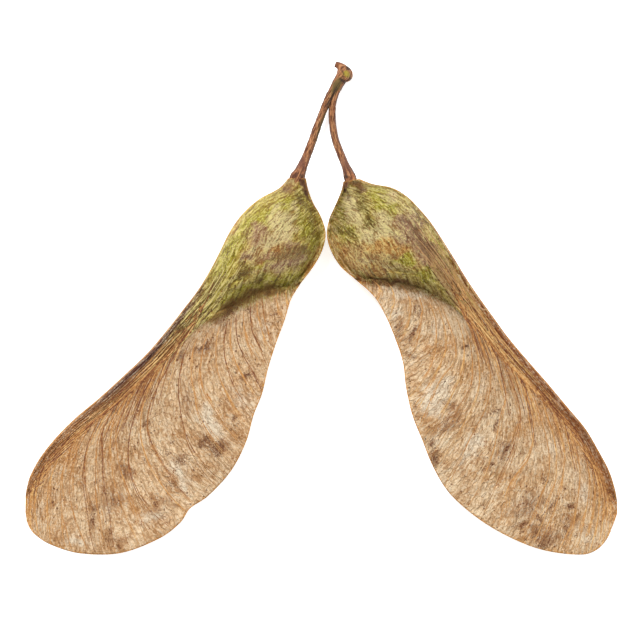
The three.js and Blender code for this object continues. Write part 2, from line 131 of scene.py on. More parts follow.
# Outlines seen from above, close to the solids'. "edge" runs down the leading edge from
# the stalk to the tip, "seam" down the side where the nuts met. A row of "wing" is one line
# of the wing's veins: its place along the edge, where it leaves the nut or the thick edge,
# the point it bends towards, and its end on the margin. "nut" is the foot of the swollen
# part, round "heart". A row of "veins" is how dark one main vein is, and which wing row it
# follows at its start, at each quarter and at its end. "folds" are pressed into the nut or
# raised on it: height, width, and the line they follow. "foot_end" is where the nut runs out
# along the edge, and "first_free_row" the first wing row past it. The rest are patches of
# colour, as ovals: place x and y, half width, half height, turn in degrees, strength.
LEFT = {
    "edge": [
        (-2.95, 11.65), (-3.8, 10.75), (-5.6, 9.75), (-7.1, 8.4), (-8.2, 6.85), (-9.1, 5.05),
        (-10, 3.35), (-11.05, 1.65), (-12.35, -0.05), (-13.85, -1.95), (-15.65, -4.05),
        (-17.75, -6.05), (-20, -8.1), (-22.15, -9.9), (-23.95, -11.7), (-25.3, -13.4),
        (-26.2, -15), (-26.55, -16.1), (-26.7, -17),
    ],
    "seam": [
        (-1.35, 11.65), (-1.15, 10.65), (-0.7, 9.45), (0, 8.2), (0.42, 6.7), (0.1, 5.15),
        (-0.7, 3.7), (-1.8, 2.25),
    ],
    "wing": [
        (6.3, (-1.8, 2.25), (-1.8, 2.25), (-1.8, 2.25)),
        (6.45, (-2.9, 2), (-2.95, 1.35), (-2.7, 0.75)),
        (6.6, (-3.95, 1.85), (-4.05, 0.3), (-3.25, -1.05)),
        (6.75, (-5.15, 1.55), (-5.3, -1.05), (-4.05, -3.2)),
        (6.92, (-6.2, 1.1), (-6.75, -2.3), (-4.75, -5.4)),
        (7.1, (-7.2, 0.6), (-8.3, -3.75), (-5.3, -7.7)),
        (7.32, (-8.1, 0.1), (-10, -4.65), (-6.05, -9.6)),
        (7.6, (-9.1, -0.45), (-11.95, -5.9), (-6.75, -12.05)),
        (7.98, (-10.7, -1.15), (-15.05, -7.35), (-8.1, -14.65)),
        (9.13, (-12.85, -3.3), (-18.8, -10.25), (-10.15, -16.9)),
        (9.63, (-13.85, -4.35), (-19.35, -11.3), (-11.8, -18.05)),
        (10.0, (-14.6, -5.05), (-20, -11.95), (-12.7, -19.35)),
        (10.5, (-15.65, -6.05), (-21.15, -12.75), (-14.65, -20.8)),
        (11.5, (-17.8, -8.1), (-22.05, -12.95), (-18.1, -22.1)),
        (13.07, (-21.35, -10.9), (-23.65, -14.4), (-21.7, -22.14)),
        (14.55, (-24, -13.1), (-25.55, -16.2), (-24.4, -21.35)),
        (16.03, (-25.6, -15.3), (-26.3, -17.8), (-25.85, -20.4)),
        (17.1, (-26.05, -16.25), (-26.45, -17.9), (-26.45, -19.5)),
        (18.0, (-26.68, -17.02), (-26.69, -17.7), (-26.69, -18.45)),
    ],
    "heart": (-4.5, 5.85),
    "nut": [
        (-2.05, 11.3), (-1.2, 9.95), (-0.45, 8.4), (-0.05, 6.8), (-0.3, 5.25), (-1.05, 4),
        (-2.1, 2.75), (-3.4, 2.1), (-5.05, 1.9), (-6.6, 1.4), (-8.05, 0.5), (-9.6, -0.6),
        (-10.5, 0.1), (-10.35, 2), (-9.65, 3.8), (-8.9, 5.35), (-8.1, 6.8), (-7, 8.35),
        (-5.5, 9.7), (-3.7, 10.7),
    ],
    "foot_end": (-10.4, -0.4),
    "first_free_row": 8.2,
    "folds": [
        (0.13, 0.28, [(-1.6, 3.4), (-3.2, 2.7), (-5.3, 2.35), (-7, 1.55), (-8.65, 0.45)]),
        (-0.16, 0.2, [(-2.15, 10.65), (-1.35, 9.45), (-0.65, 7.95)]),
        (-0.12, 0.14, [(-6.2, 5.25), (-7.5, 3.6), (-8.9, 1.45), (-11, -1)]),
        (-0.1, 0.14, [(-5.3, 4.15), (-6.9, 2.55), (-8.65, 0.75)]),
        (0.1, 0.2, [(-7, 6.4), (-8.5, 3.8), (-10, 1.2)]),
    ],
    "veins": [
        (0.25, 0.8, 1.2, 1.25, 1.3, 1.3), (0.35, 1.7, 2.0, 2.1, 2.1, 2.1),
        (0.6, 3.05, 3.08, 3.1, 3.13, 3.3), (0.35, 3.5, 3.5, 3.45, 3.45, 3.5),
        (0.85, 4.0, 4.02, 4.0, 3.83, 3.86), (0.4, 4.6, 4.55, 4.45, 4.3, 4.3),
        (0.9, 5.15, 5.12, 5.0, 4.78, 4.76), (0.3, 5.5, 5.55, 5.5, 5.4, 5.4),
        (0.8, 5.7, 5.95, 6.03, 6.02, 6.12), (0.3, 6.5, 6.55, 6.6, 6.5, 6.6),
        (0.45, 7.2, 7.3, 7.42, 7.27, 7.26), (0.3, 7.65, 7.74, 7.72, 7.82, 7.74),
        (0.8, 7.95, 8.1, 8.2, 8.37, 8.5), (0.75, 8.35, 8.7, 9.36, 9.38, 9.6),
        (0.3, 9.5, 9.85, 10.2, 10.3, 10.4), (0.85, 10.0, 10.8, 11.45, 11.72, 11.5),
        (0.5, 11.5, 12.28, 12.12, 12.03, 12.25), (0.35, 12.6, 12.62, 12.5, 12.45, 12.6),
        (0.85, 13.18, 13.08, 12.87, 12.9, 13.04), (0.5, 13.05, 13.18, 13.15, 13.25, 13.46),
        (0.8, 13.4, 13.52, 13.57, 13.55, 13.55), (0.5, 13.65, 13.88, 14.03, 13.98, 13.85),
        (0.45, 14.05, 14.25, 14.37, 14.36, 14.34), (0.3, 14.45, 14.7, 14.87, 14.9, 14.9),
        (0.3, 15.0, 15.6, 15.75, 15.72, 15.71), (0.2, 15.8, 16.3, 16.45, 16.5, 16.5),
        (0.2, 16.7, 17.1, 17.2, 17.2, 17.2),
    ],
    "lime": [
        (-4.77, 8.3, 1.53, 0.45, 40, 0.9), (-3.33, 9.29, 1.08, 0.54, 45, 0.8),
        (-1.89, 8.39, 0.72, 1.08, 10, 0.5), (-1.17, 7.04, 0.63, 0.81, 0, 0.9),
        (-0.45, 5.6, 0.45, 0.9, -12, 0.7), (-6.39, 7.76, 0.63, 1.44, -38, 0.6),
        (-8.01, 5.42, 0.54, 1.8, -33, 0.75), (-8.91, 3.44, 0.45, 1.62, -33, 0.7),
        (-5.31, 3.98, 1.26, 0.36, 20, 0.6), (-2.07, 2.9, 1.17, 0.36, 24, 1),
        (-3.87, 2.36, 1.26, 0.36, 10, 0.9), (-6.21, 2.09, 1.44, 0.36, 20, 1),
        (-8.01, 1.01, 1.26, 0.36, 36, 0.9), (-9.54, 1.46, 0.45, 1.26, -36, 0.6),
        (-2.97, 7.49, 0.72, 0.54, 0, 0.5), (-1.44, 4.16, 0.54, 0.45, 30, 0.6),
    ],
    # Pale: pale membrane on the wing; the ovals on the nut lie where the light falls brightest, partly
    # painted highlight
    "pale": [
        (-3.51, 7.76, 1.44, 1.08, 30, 0.7), (-3.15, 7.22, 0.81, 0.72, 0, 0.8),
        (-4.5, 5.87, 1.08, 0.63, 25, 0.9), (-3.33, 6.32, 0.81, 0.45, 10, 0.8),
        (-5.94, 5.24, 0.81, 0.36, 30, 0.6), (-5.31, 3.44, 1.08, 0.27, 20, 0.5),
        (-4.14, 8.84, 0.9, 0.27, 42, 0.6), (-2.25, 9.2, 0.45, 0.72, 10, 0.5),
        (-2.79, 11.36, 0.45, 0.63, -30, 0.5), (-6.84, 4.16, 0.72, 0.22, 35, 0.4),
        (-7.29, 2.09, 0.9, 0.18, 36, 0.5), (-10.3, -9.9, 0.72, 1.35, 15, 0.9),
        (-9.6, -11.1, 1.08, 0.72, -30, 0.6), (-7.3, -8, 1.26, 0.9, -45, 0.5),
        (-12.9, -14.6, 0.72, 1.26, 30, 0.7), (-12.2, -16, 0.72, 0.63, 0, 0.5),
        (-22.2, -20.9, 1.44, 0.54, -10, 0.6), (-15.4, -18.9, 1.98, 0.72, 10, 0.5),
        (-14, -10.5, 0.45, 1.8, 10, 0.4), (-5.1, -2.1, 0.81, 1.62, 15, 0.4),
        (-25.5, -18.6, 0.54, 1.26, 0, 0.4), (-16.1, -11.9, 0.45, 1.26, 0, 0.3),
    ],
    "mauve": [
        (-5.76, 6.5, 0.81, 0.81, 30, 0.95), (-6.66, 4.52, 0.63, 0.45, 30, 0.7),
        (-2.61, 5.69, 0.72, 0.36, 0, 0.6), (-3.24, 3.8, 1.35, 0.54, 22, 0.8),
        (-4.77, 4.7, 1.08, 0.45, 30, 0.6), (-1.89, 4.16, 0.72, 0.45, 30, 0.6),
        (-5.31, 7.13, 0.54, 0.45, 0, 0.5), (-17.6, -14.6, 0.81, 0.54, -60, 0.9),
        (-19.3, -17.3, 1.08, 1.8, 0, 0.4), (-24.4, -17.3, 0.45, 1.44, 0, 0.35),
        (-12, -8.4, 0.81, 1.8, 5, 0.5), (-15.4, -7.9, 0.72, 1.26, -20, 0.35),
        (-21.7, -10.7, 1.08, 0.54, 35, 0.7), (-13, -4.3, 0.81, 0.54, 30, 0.7),
        (-10.7, -3.5, 1.08, 0.45, 20, 0.7), (-18.1, -17.4, 0.9, 0.72, 0, 0.4),
        (-14, -17.3, 1.26, 0.63, -30, 0.4), (-8.4, -1.5, 1.8, 0.45, 25, 0.5),
        (-8.9, -12.4, 1.08, 0.72, 0, 0.4), (-18.3, -20.9, 1.26, 0.72, 10, 0.35),
    ],
    "dark": [
        (-2.16, 4.88, 1.26, 0.54, 5, 0.5), (-2.97, 5.24, 1.08, 0.45, 15, 0.4),
        (-3.42, 4.61, 0.63, 0.36, 20, 0.6), (-1.62, 5.33, 0.54, 0.45, 0, 0.6),
        (-4.32, 4.43, 0.45, 0.27, 25, 0.6), (-1.53, 11.27, 0.22, 0.81, 18, 1),
        (-1.71, 9.65, 0.45, 0.36, -30, 0.8), (-0.9, 8.84, 0.27, 0.63, 25, 0.7),
        (-0.27, 7.76, 0.22, 0.54, 15, 0.6), (-6.75, 4.34, 0.45, 0.18, 30, 0.8),
        (-7.38, 3.44, 0.72, 0.27, 38, 0.7), (-6.39, 3.35, 0.54, 0.27, 25, 0.8),
        (-7.56, 2.81, 0.45, 0.22, 38, 0.6), (-3.15, 10.64, 0.54, 0.27, 30, 0.6),
        (-4.77, 1.55, 0.36, 0.27, 0, 0.9), (-5.76, 5.51, 0.45, 0.11, 35, 0.6),
        (-6.21, 4.7, 0.54, 0.11, 35, 0.6), (-8.5, -0.5, 1.08, 0.36, 38, 0.65),
        (-9.3, -12.7, 0.72, 0.54, -20, 0.95), (-10.5, -12, 0.45, 0.45, 0, 0.7),
        (-7.7, -9.9, 0.45, 0.27, 0, 0.7), (-8, -10.8, 0.54, 0.36, 0, 0.45),
        (-6.7, -6.1, 0.27, 0.36, 0, 0.8), (-5.7, -5.3, 0.18, 0.18, 0, 0.7),
        (-12.6, -13.6, 0.72, 0.36, -20, 0.6), (-13.8, -12.9, 0.36, 0.22, 0, 0.6),
        (-13, -12.2, 0.18, 0.18, 0, 0.7), (-15.8, -10.3, 0.32, 0.22, 0, 0.9),
        (-15.2, -9.4, 0.27, 0.27, 0, 0.5), (-15.8, -13.6, 0.36, 0.27, 0, 0.6),
        (-13.4, -15.8, 0.72, 0.36, -30, 0.5), (-14.8, -17.8, 0.36, 0.63, -20, 0.6),
        (-14.2, -18.5, 0.45, 0.36, 0, 0.4), (-20.3, -15.7, 0.27, 0.27, 0, 0.6),
        (-19.7, -16.3, 0.36, 0.27, -40, 0.4), (-20.5, -19.1, 0.22, 0.63, 0, 0.9),
        (-20.3, -18, 0.27, 0.54, 0, 0.5), (-19, -21, 0.63, 0.45, 0, 0.5),
        (-18.1, -21.7, 0.27, 0.22, 0, 0.7), (-19.2, -20.3, 0.27, 0.18, 0, 0.6),
        (-6.5, -0.3, 0.27, 0.27, 0, 0.6), (-4.1, -0.4, 0.36, 0.27, 0, 0.5),
        (-10.6, -3.3, 0.54, 0.22, 20, 0.6), (-18.7, -9.3, 0.45, 0.18, 35, 0.5),
        (-21.4, -11.1, 0.45, 0.18, 35, 0.5), (-24.2, -17.6, 0.14, 0.14, 0, 0.8),
        (-22.9, -16.9, 0.27, 0.36, 0, 0.4),
    ],
    "gold": [
        # The ovals at (-0.27, 4.7), (-1.08, 3.26) and (-2.07, 1.64) follow the nut's edge by the seam:
        # painted glow of light through that edge
        (-2.07, 11.54, 0.45, 0.63, 0, 0.5), (-0.27, 4.7, 0.36, 0.9, -22, 1),
        (-1.08, 3.26, 0.36, 0.99, -38, 1), (-2.07, 1.64, 0.36, 0.9, -38, 1),
        (-4.41, 10.91, 1.08, 0.27, 28, 0.5), (-6.21, 9.47, 1.08, 0.22, 38, 0.5),
        (-7.74, 7.22, 0.27, 1.26, -36, 0.5), (-3.96, 5.06, 0.54, 0.36, 20, 0.7),
        (-5.31, 4.25, 0.63, 0.36, 20, 0.5), (-24.2, -12.4, 1.08, 0.81, 35, 0.6),
        (-25.3, -15, 0.54, 1.26, -10, 0.6), (-25.9, -17.3, 0.36, 1.26, 0, 0.5),
        (-7.6, -8.3, 0.27, 0.45, 0, 0.4), (-16.3, -11, 0.27, 0.9, -20, 0.4),
        (-23.5, -15.5, 0.36, 0.72, 10, 0.5),
    ],
    "tan": [
        (-2.88, 11.18, 0.81, 0.99, -25, 0.9), (-4.41, 5.06, 2.7, 1.35, 24, 0.85),
        (-3.24, 4.16, 1.62, 0.72, 20, 0.7), (-4.59, 3.44, 1.26, 0.45, 22, 0.6),
        (-5.67, 5.78, 1.08, 0.72, 30, 0.5), (-4.14, 10.91, 0.9, 0.36, 30, 0.6),
    ],
    "olive": [
        (-0.63, 6.32, 0.54, 1.26, -5, 0.35), (-1.62, 6.5, 0.54, 0.63, 0, 0.3),
        (-7.29, 2.99, 1.26, 0.45, 38, 0.7), (-8.55, 4.16, 0.27, 1.44, -34, 0.5),
        (-6.84, 6.14, 0.27, 1.26, -36, 0.4), (-1.89, 10.01, 0.72, 0.54, -40, 0.5),
        (-5.67, 2.63, 1.08, 0.22, 12, 0.6), (-8.19, 2.36, 0.27, 1.26, -38, 0.5),
        (-0.81, 7.76, 0.45, 0.9, 15, 0.5),
    ],
    "purple": [
        (-1.53, 11.18, 0.36, 0.81, 20, 1), (-1.08, 10.28, 0.27, 0.63, 25, 0.9),
        (-0.63, 9.2, 0.18, 0.54, 28, 0.7),
    ],
    # Umber: brown at the top of the nut, and painted shade along the crease under the nut's lip
    "umber": [
        (-5.31, 1.64, 1.26, 0.45, 12, 0.9), (-6.75, 0.83, 1.17, 0.45, 26, 0.85),
        (-8.19, 0.02, 1.17, 0.45, 34, 0.8), (-9.63, -0.88, 1.08, 0.45, 38, 0.7),
        (-4.23, 1.55, 1.08, 0.54, 0, 0.6), (-2.97, 10.64, 0.81, 0.36, 25, 0.7),
        (-2.43, 11.54, 0.54, 0.36, 0, 0.6),
    ],
}
RIGHT = {
    "edge": [
        (3.45, 11.6), (4.65, 11.15), (6.4, 10.8), (7.75, 10), (8.9, 8.85), (9.9, 7.65),
        (10.9, 6.15), (11.95, 4.5), (13.05, 2.7), (14.2, 1), (15.5, -0.8), (16.9, -2.7),
        (18.65, -4.75), (20.45, -6.8), (22.3, -9), (23.85, -10.85), (25.1, -12.95), (26, -14.65),
        (26.55, -16.35), (26.75, -17.45),
    ],
    "seam": [
        (2, 11.35), (1.85, 10.65), (1.55, 9.85), (1.1, 8.85), (0.72, 7.95), (0.52, 6.7),
        (0.8, 5.35), (1.7, 3.8), (3.05, 2.6),
    ],
    "wing": [
        (7.1, (3.05, 2.6), (3.05, 2.6), (3.05, 2.6)),
        (7.25, (4.6, 2.65), (4.95, 1.75), (4.7, 1.1)),
        (7.42, (6.05, 2.55), (6.95, 0.9), (5.75, -0.6)),
        (7.6, (7.4, 2.25), (9.45, -0.35), (6.65, -2.7)),
        (7.82, (8.75, 1.9), (11.45, -2.3), (7.35, -4.85)),
        (8.1, (9.8, 1.45), (13.25, -3.4), (7.65, -7.2)),
        (8.42, (10.8, 0.95), (14.65, -4.5), (8.2, -9.6)),
        (8.82, (11.7, 0.4), (15.65, -5.75), (9.1, -11.85)),
        (9.4, (12.7, -0.55), (16.85, -7.2), (10.1, -14.3)),
        (10.1, (14.05, -2), (18.35, -9.35), (11.6, -16.7)),
        (11.1, (15.95, -4.15), (20.15, -11.85), (14.15, -18.95)),
        (12.2, (18.1, -6.35), (21.5, -13.85), (17.1, -20.7)),
        (13.35, (20.35, -8.6), (23.5, -15.3), (20.15, -21.85)),
        (14.9, (23.15, -11.3), (25.1, -16.55), (23.3, -22.25)),
        (16.2, (24.5, -13.8), (25.9, -17.55), (24.75, -21.9)),
        (17.2, (25.4, -15.45), (26.3, -17.9), (25.75, -20.95)),
        (18.1, (25.95, -16.55), (26.45, -18), (26.35, -19.6)),
        (19.0, (26.73, -17.47), (26.74, -18), (26.74, -18.5)),
    ],
    "heart": (5.6, 6.3),
    "nut": [
        (2.9, 11.15), (2.05, 10.4), (1.5, 9.05), (1.1, 7.75), (1, 6.6), (1.2, 5.45), (2, 4.15),
        (3.25, 3), (4.65, 2.72), (6.2, 2.5), (7.85, 2.2), (9.35, 1.7), (10.9, 0.95), (12.2, 0),
        (12.95, 0.6), (12.9, 2), (12.2, 3.65), (11.4, 5.05), (10.65, 6.15), (9.75, 7.6),
        (8.75, 8.8), (7.6, 9.9), (6.35, 10.65), (4.9, 11.05),
    ],
    "foot_end": (12.8, 0.1),
    "first_free_row": 8.0,
    "folds": [
        (-0.14, 0.25, [(3.05, 10.65), (3.6, 9), (4.15, 7.2)]),
        (0.1, 0.4, [(2.5, 10.1), (2.35, 8.4), (2.8, 6.85)]),
        (-0.18, 0.16, [(2.15, 10.45), (1.35, 9.1), (0.85, 7.6)]),
        (0.2, 0.13, [(2.25, 10.8), (2.6, 11.3), (3.15, 11.5), (3.7, 11.3), (4.05, 10.9)]),
        (-0.15, 0.12, [(2.45, 10.35), (2.8, 10.9), (3.25, 11.15)]),
        (0.1, 0.2, [(3.35, 2.95), (5.75, 3.05), (7.85, 2.75), (9.35, 2.15)]),
        (-0.14, 0.15, [(9.8, 4.15), (11.15, 2.1), (12.95, -0.35)]),
        (0.12, 0.2, [(8.6, 5.2), (10.3, 2.9), (12.3, 0.3)]),
    ],
    "veins": [
        (0.2, 0.9, 1.2, 1.3, 1.3, 1.3), (0.2, 1.8, 2.0, 2.1, 2.1, 2.2),
        (0.3, 2.7, 2.85, 2.9, 3.0, 3.2), (0.4, 3.6, 3.57, 3.5, 3.7, 4.0),
        (0.35, 4.2, 4.3, 4.5, 5.0, 5.5), (0.25, 4.8, 4.9, 5.2, 5.4, 5.9),
        (0.35, 5.2, 5.4, 6.0, 5.8, 6.6), (0.25, 6.5, 6.65, 6.7, 6.75, 7.1),
        (0.5, 7.1, 7.33, 7.5, 7.36, 7.75), (0.25, 7.8, 7.95, 8.0, 7.95, 8.2),
        (0.45, 8.75, 8.76, 8.62, 8.45, 8.74), (0.4, 9.3, 9.55, 9.28, 9.4, 9.48),
        (0.65, 9.6, 10.2, 9.98, 9.83, 9.99), (0.35, 10.88, 10.9, 10.65, 10.25, 10.67),
        (0.4, 11.15, 11.35, 11.45, 11.28, 11.39), (0.25, 11.6, 11.75, 11.72, 11.6, 11.6),
        (0.35, 12.0, 12.13, 11.98, 11.87, 11.85), (0.35, 12.4, 12.62, 12.6, 12.5, 12.46),
        (0.3, 12.9, 13.1, 13.0, 12.85, 12.8), (0.3, 13.0, 13.45, 13.4, 13.2, 13.15),
        (0.25, 13.5, 13.9, 13.8, 13.7, 13.6), (0.25, 14.0, 14.4, 14.4, 14.2, 14.1),
        (0.2, 14.5, 15.1, 14.9, 14.7, 14.6), (0.2, 15.2, 15.7, 15.6, 15.4, 15.3),
    ],
    "lime": [
        (2.61, 9.11, 0.54, 1.17, 12, 0.5), (2.79, 6.86, 0.63, 0.36, -10, 1),
        (1.62, 8.66, 0.36, 1.08, 18, 0.8), (5.85, 9.38, 0.99, 0.99, -20, 0.9),
        (6.39, 8.57, 0.54, 0.72, 0, 0.8), (4.77, 10.37, 0.9, 0.45, -15, 0.8),
        (5.58, 7.76, 0.63, 1.08, -5, 0.6), (7.56, 4.43, 0.72, 0.54, 0, 1),
        (6.75, 4.16, 0.72, 0.36, 0, 0.6), (9.81, 3.35, 0.72, 0.54, -40, 0.7),
        (10.44, 5.51, 0.36, 1.08, 35, 0.7), (11.25, 4.16, 0.36, 0.9, 38, 0.7),
        (1.98, 6.59, 0.45, 0.63, -20, 0.5), (9.27, 2.72, 0.9, 0.27, -20, 0.7),
    ],
    # Pale: pale membrane on the wing; the ovals on the nut lie where the light falls brightest, partly
    # painted highlight
    "pale": [
        (5.67, 7.49, 1.08, 1.26, 0, 0.8), (2.79, 8.84, 0.81, 1.44, 8, 0.6),
        (4.41, 6.23, 0.9, 0.36, 15, 1), (4.05, 6.86, 0.63, 0.45, 0, 0.7),
        (5.67, 7.13, 0.81, 0.63, 0, 0.85), (6.03, 6.32, 0.72, 0.45, -20, 0.7),
        (2.52, 9.29, 0.63, 1.08, 8, 0.6), (6.39, 9.92, 0.81, 0.63, -30, 0.7),
        (7.83, 8.84, 0.81, 0.45, -38, 0.5), (3.24, 7.76, 0.72, 0.72, 0, 0.5),
        (7.29, 6.32, 0.81, 0.36, -20, 0.6), (8.55, 7.22, 0.72, 0.36, -45, 0.4),
        (3.69, 4.16, 1.08, 0.27, -15, 0.5), (6.03, 3.62, 1.44, 0.22, -5, 0.5),
        (6.75, 1.46, 1.26, 0.63, -20, 0.8), (8.73, 1.28, 0.9, 0.54, -30, 0.6),
        (2.97, 11.54, 0.72, 0.22, 10, 0.9), (10.71, 2.54, 1.62, 0.27, -45, 0.6),
        (12.06, 1.1, 1.44, 0.22, -50, 0.5), (9.8, -7.9, 0.81, 1.35, -25, 0.9),
        (11.2, -7, 0.72, 1.17, -20, 0.7), (10.3, -9.3, 1.08, 0.63, 30, 0.6),
        (13.9, -11.9, 1.26, 0.81, 40, 0.6), (13, -13.7, 1.26, 0.72, 35, 0.5),
        (6.6, -0.3, 0.9, 0.72, 0, 0.6), (14.3, -7, 0.63, 1.44, -10, 0.4),
        (18.4, -8.6, 0.36, 1.26, 5, 0.8), (23.8, -16.8, 0.72, 1.35, 10, 0.6),
        (24.2, -20.5, 1.08, 0.9, 0, 0.5), (20.9, -12.6, 0.54, 1.26, 5, 0.5),
        (22.9, -14.6, 0.36, 1.98, 0, 0.4), (10.4, -2, 0.54, 1.62, -10, 0.4),
    ],
    "mauve": [
        (8.01, 7.04, 1.17, 1.08, -30, 1), (9.36, 5.24, 0.72, 1.26, 35, 0.9),
        (7.47, 7.76, 0.72, 0.63, 0, 0.9), (9, 5.87, 0.72, 0.9, 25, 0.95),
        (9.81, 4.7, 0.63, 0.72, 30, 0.8), (6.93, 6.05, 0.72, 0.45, 0, 0.6),
        (3.33, 10.91, 0.72, 0.36, -20, 0.8), (2.79, 4.16, 0.9, 0.36, -25, 0.6),
        (9.27, 4.34, 0.9, 0.45, -30, 0.6), (18.8, -17.8, 2.34, 1.35, 20, 0.55),
        (20.2, -20.5, 1.8, 0.81, -20, 0.6), (16.6, -12.8, 1.08, 0.9, 45, 0.6),
        (11.2, -10.5, 1.8, 0.81, 30, 0.55), (14.8, -9.7, 0.63, 0.54, 0, 0.4),
        (7.1, -2, 0.81, 1.53, 10, 0.5), (22.5, -19.1, 0.81, 1.26, -10, 0.5),
        (17.9, -14.6, 1.26, 0.81, 30, 0.4), (11.8, -8.7, 0.72, 0.72, 0, 0.5),
        (23.8, -13.2, 0.54, 1.26, 0, 0.3), (14.3, -3.3, 0.72, 0.45, -45, 0.5),
    ],
    "dark": [
        (7.47, 7.76, 0.45, 0.36, 0, 0.9), (8.28, 6.86, 0.72, 0.63, -30, 0.5),
        (9.36, 5.24, 0.54, 0.99, 35, 0.45), (9.09, 6.14, 0.45, 0.45, 0, 0.6),
        (9.63, 5.24, 0.45, 0.54, 30, 0.7), (8.55, 6.77, 0.36, 0.27, 0, 0.5),
        (4.59, 4.16, 0.45, 0.14, 0, 0.7), (3.51, 4.25, 0.36, 0.14, 0, 0.6),
        # The thin ovals at the nut's foot, from x 4.9 to 7.3 near y 2, are painted shade along the
        # crease under the nut
        (5.85, 2.54, 1.26, 0.14, -6, 1), (7.29, 2.27, 0.9, 0.15, -12, 0.8),
        (2.25, 10.37, 0.18, 0.9, 15, 0.8), (1.53, 9.29, 0.18, 0.72, 25, 0.7),
        (3.6, 10.73, 0.36, 0.27, 0, 0.8), (5.4, 1.91, 0.27, 0.27, 0, 0.7),
        (6.39, 2.18, 0.72, 0.14, 0, 0.6), (4.95, 2.27, 0.27, 0.18, 0, 0.6),
        (10.71, 3.62, 0.27, 0.45, 40, 0.6), (11.61, 3.44, 0.27, 0.45, 40, 0.6),
        (8.3, -2.4, 0.81, 0.2, 54, 1), (8.6, -0.3, 0.18, 0.54, 0, 0.7),
        (12.9, -3.5, 0.29, 0.22, -20, 0.95), (11.2, -8.6, 0.36, 0.36, 0, 0.6),
        (10, -11.9, 0.45, 0.45, 0, 0.75), (10.2, -13.5, 0.45, 0.72, 15, 0.8),
        (8.2, -8.8, 0.14, 0.45, 0, 0.8), (16, -10.2, 0.72, 0.14, 75, 0.8),
        (15.8, -9.3, 0.27, 0.27, 0, 0.5), (16.8, -12.9, 0.9, 0.17, 60, 0.95),
        (15.6, -14, 0.32, 0.27, 0, 0.8), (15, -14.6, 0.36, 0.27, 0, 0.6),
        (14.5, -13.6, 0.18, 0.18, 0, 0.8), (21.1, -18, 0.81, 0.27, 45, 0.8),
        (19.6, -18.8, 0.36, 0.27, 0, 0.8), (22.5, -17.9, 0.23, 0.23, 0, 0.8),
        (22.1, -20, 0.32, 0.81, -10, 0.5), (20.2, -21.3, 0.72, 0.36, 0, 0.6),
        (18.1, -19.7, 0.63, 0.36, 0, 0.6), (20.4, -15.6, 0.36, 0.27, 0, 0.6),
        (21.8, -16.3, 0.16, 0.16, 0, 0.9), (24.9, -16.8, 0.16, 0.16, 0, 0.9),
        (18.5, -13.2, 0.18, 0.18, 0, 0.6), (8, -4.2, 0.36, 0.45, 0, 0.5),
        (12.8, -4.9, 0.14, 0.14, 0, 0.8), (6.8, -1.6, 0.27, 0.27, 0, 0.4),
        (16.2, -6.5, 0.14, 0.14, 0, 0.5), (23.1, -20.6, 0.14, 0.14, 0, 0.8),
    ],
    "gold": [
        (2.16, 4.7, 1.08, 0.54, -48, 1), (3.51, 3.53, 1.26, 0.45, -38, 1),
        (5.13, 3.26, 1.26, 0.36, -10, 0.7), (5.67, 5.51, 1.17, 0.54, 0, 1),
        (6.75, 5.33, 0.9, 0.45, -15, 0.8), (4.59, 5.24, 0.72, 0.45, 0, 0.7),
        (4.59, 3.62, 1.62, 0.36, -12, 0.6), (1.17, 6.14, 0.27, 0.81, -12, 0.8),
        (2.61, 11.45, 0.45, 0.27, 35, 0.8), (3.6, 11.54, 0.45, 0.18, -20, 0.8),
        (8.91, 9.02, 1.26, 0.22, -48, 0.5), (11.43, 5.42, 0.9, 0.18, -55, 0.5),
        (5.13, 2.54, 0.81, 0.27, -35, 0.5), (9.9, -3.8, 0.54, 0.54, 0, 0.8),
        (11.8, -3, 0.27, 0.72, 0, 0.7), (12.8, -4.6, 0.27, 0.27, 0, 0.5),
        (14.5, -5.6, 0.32, 0.32, 0, 0.5), (18.3, -11.1, 0.45, 0.9, 0, 0.6),
        (19.7, -9.7, 0.81, 1.26, -40, 0.6), (17.5, -11.5, 0.36, 0.9, 0, 0.5),
        (13, -9.3, 0.36, 0.45, 0, 0.6), (21.5, -8.3, 0.72, 1.26, -40, 0.5),
        (25.6, -14.6, 0.36, 1.8, 15, 0.6), (26, -17.3, 0.27, 1.44, 0, 0.6),
        (21.8, -13.2, 0.27, 1.26, 0, 0.6), (18.8, -12.3, 0.27, 0.72, 0, 0.5),
    ],
    "tan": [
        (5.67, 4.88, 2.88, 1.17, -8, 0.95), (8.19, 6.5, 1.44, 0.9, -45, 0.8),
        (11.43, 2.09, 2.16, 0.63, -52, 0.8), (5.49, 4.61, 2.16, 0.72, -3, 0.9),
        (3.06, 4.88, 1.17, 0.63, -25, 0.7), (6.66, 5.51, 1.44, 0.54, -10, 0.6),
        (8.46, 5.24, 1.08, 0.72, -30, 0.6), (2.79, 11.36, 0.81, 0.36, 10, 0.8),
        (8.91, 4.16, 1.08, 0.54, -30, 0.5),
    ],
    "olive": [
        (3.24, 10.46, 0.27, 0.72, -20, 0.8), (3.6, 9.47, 0.27, 0.81, -15, 0.9),
        (4.05, 7.94, 0.32, 0.81, -8, 0.8), (4.05, 9.02, 0.45, 1.08, -12, 0.5),
        (2.07, 7.76, 0.54, 1.08, 5, 0.5), (2.61, 6.59, 0.81, 0.36, -10, 0.7),
        (10.35, 5.06, 0.27, 1.26, 34, 0.7), (11.07, 4.16, 0.27, 0.9, 36, 0.7),
        (1.53, 7.22, 0.36, 0.81, 0, 0.6), (4.59, 7.49, 0.63, 0.63, 0, 0.4),
        (9.63, 2.9, 0.81, 0.27, -28, 0.6), (8.37, 8.12, 0.9, 0.18, -45, 0.5),
        (7.29, 3.26, 0.9, 0.18, -8, 0.6),
    ],
    "purple": [
        (2.07, 10.91, 0.27, 0.45, 10, 0.9), (2.34, 11.63, 0.45, 0.27, 0, 0.7),
    ],
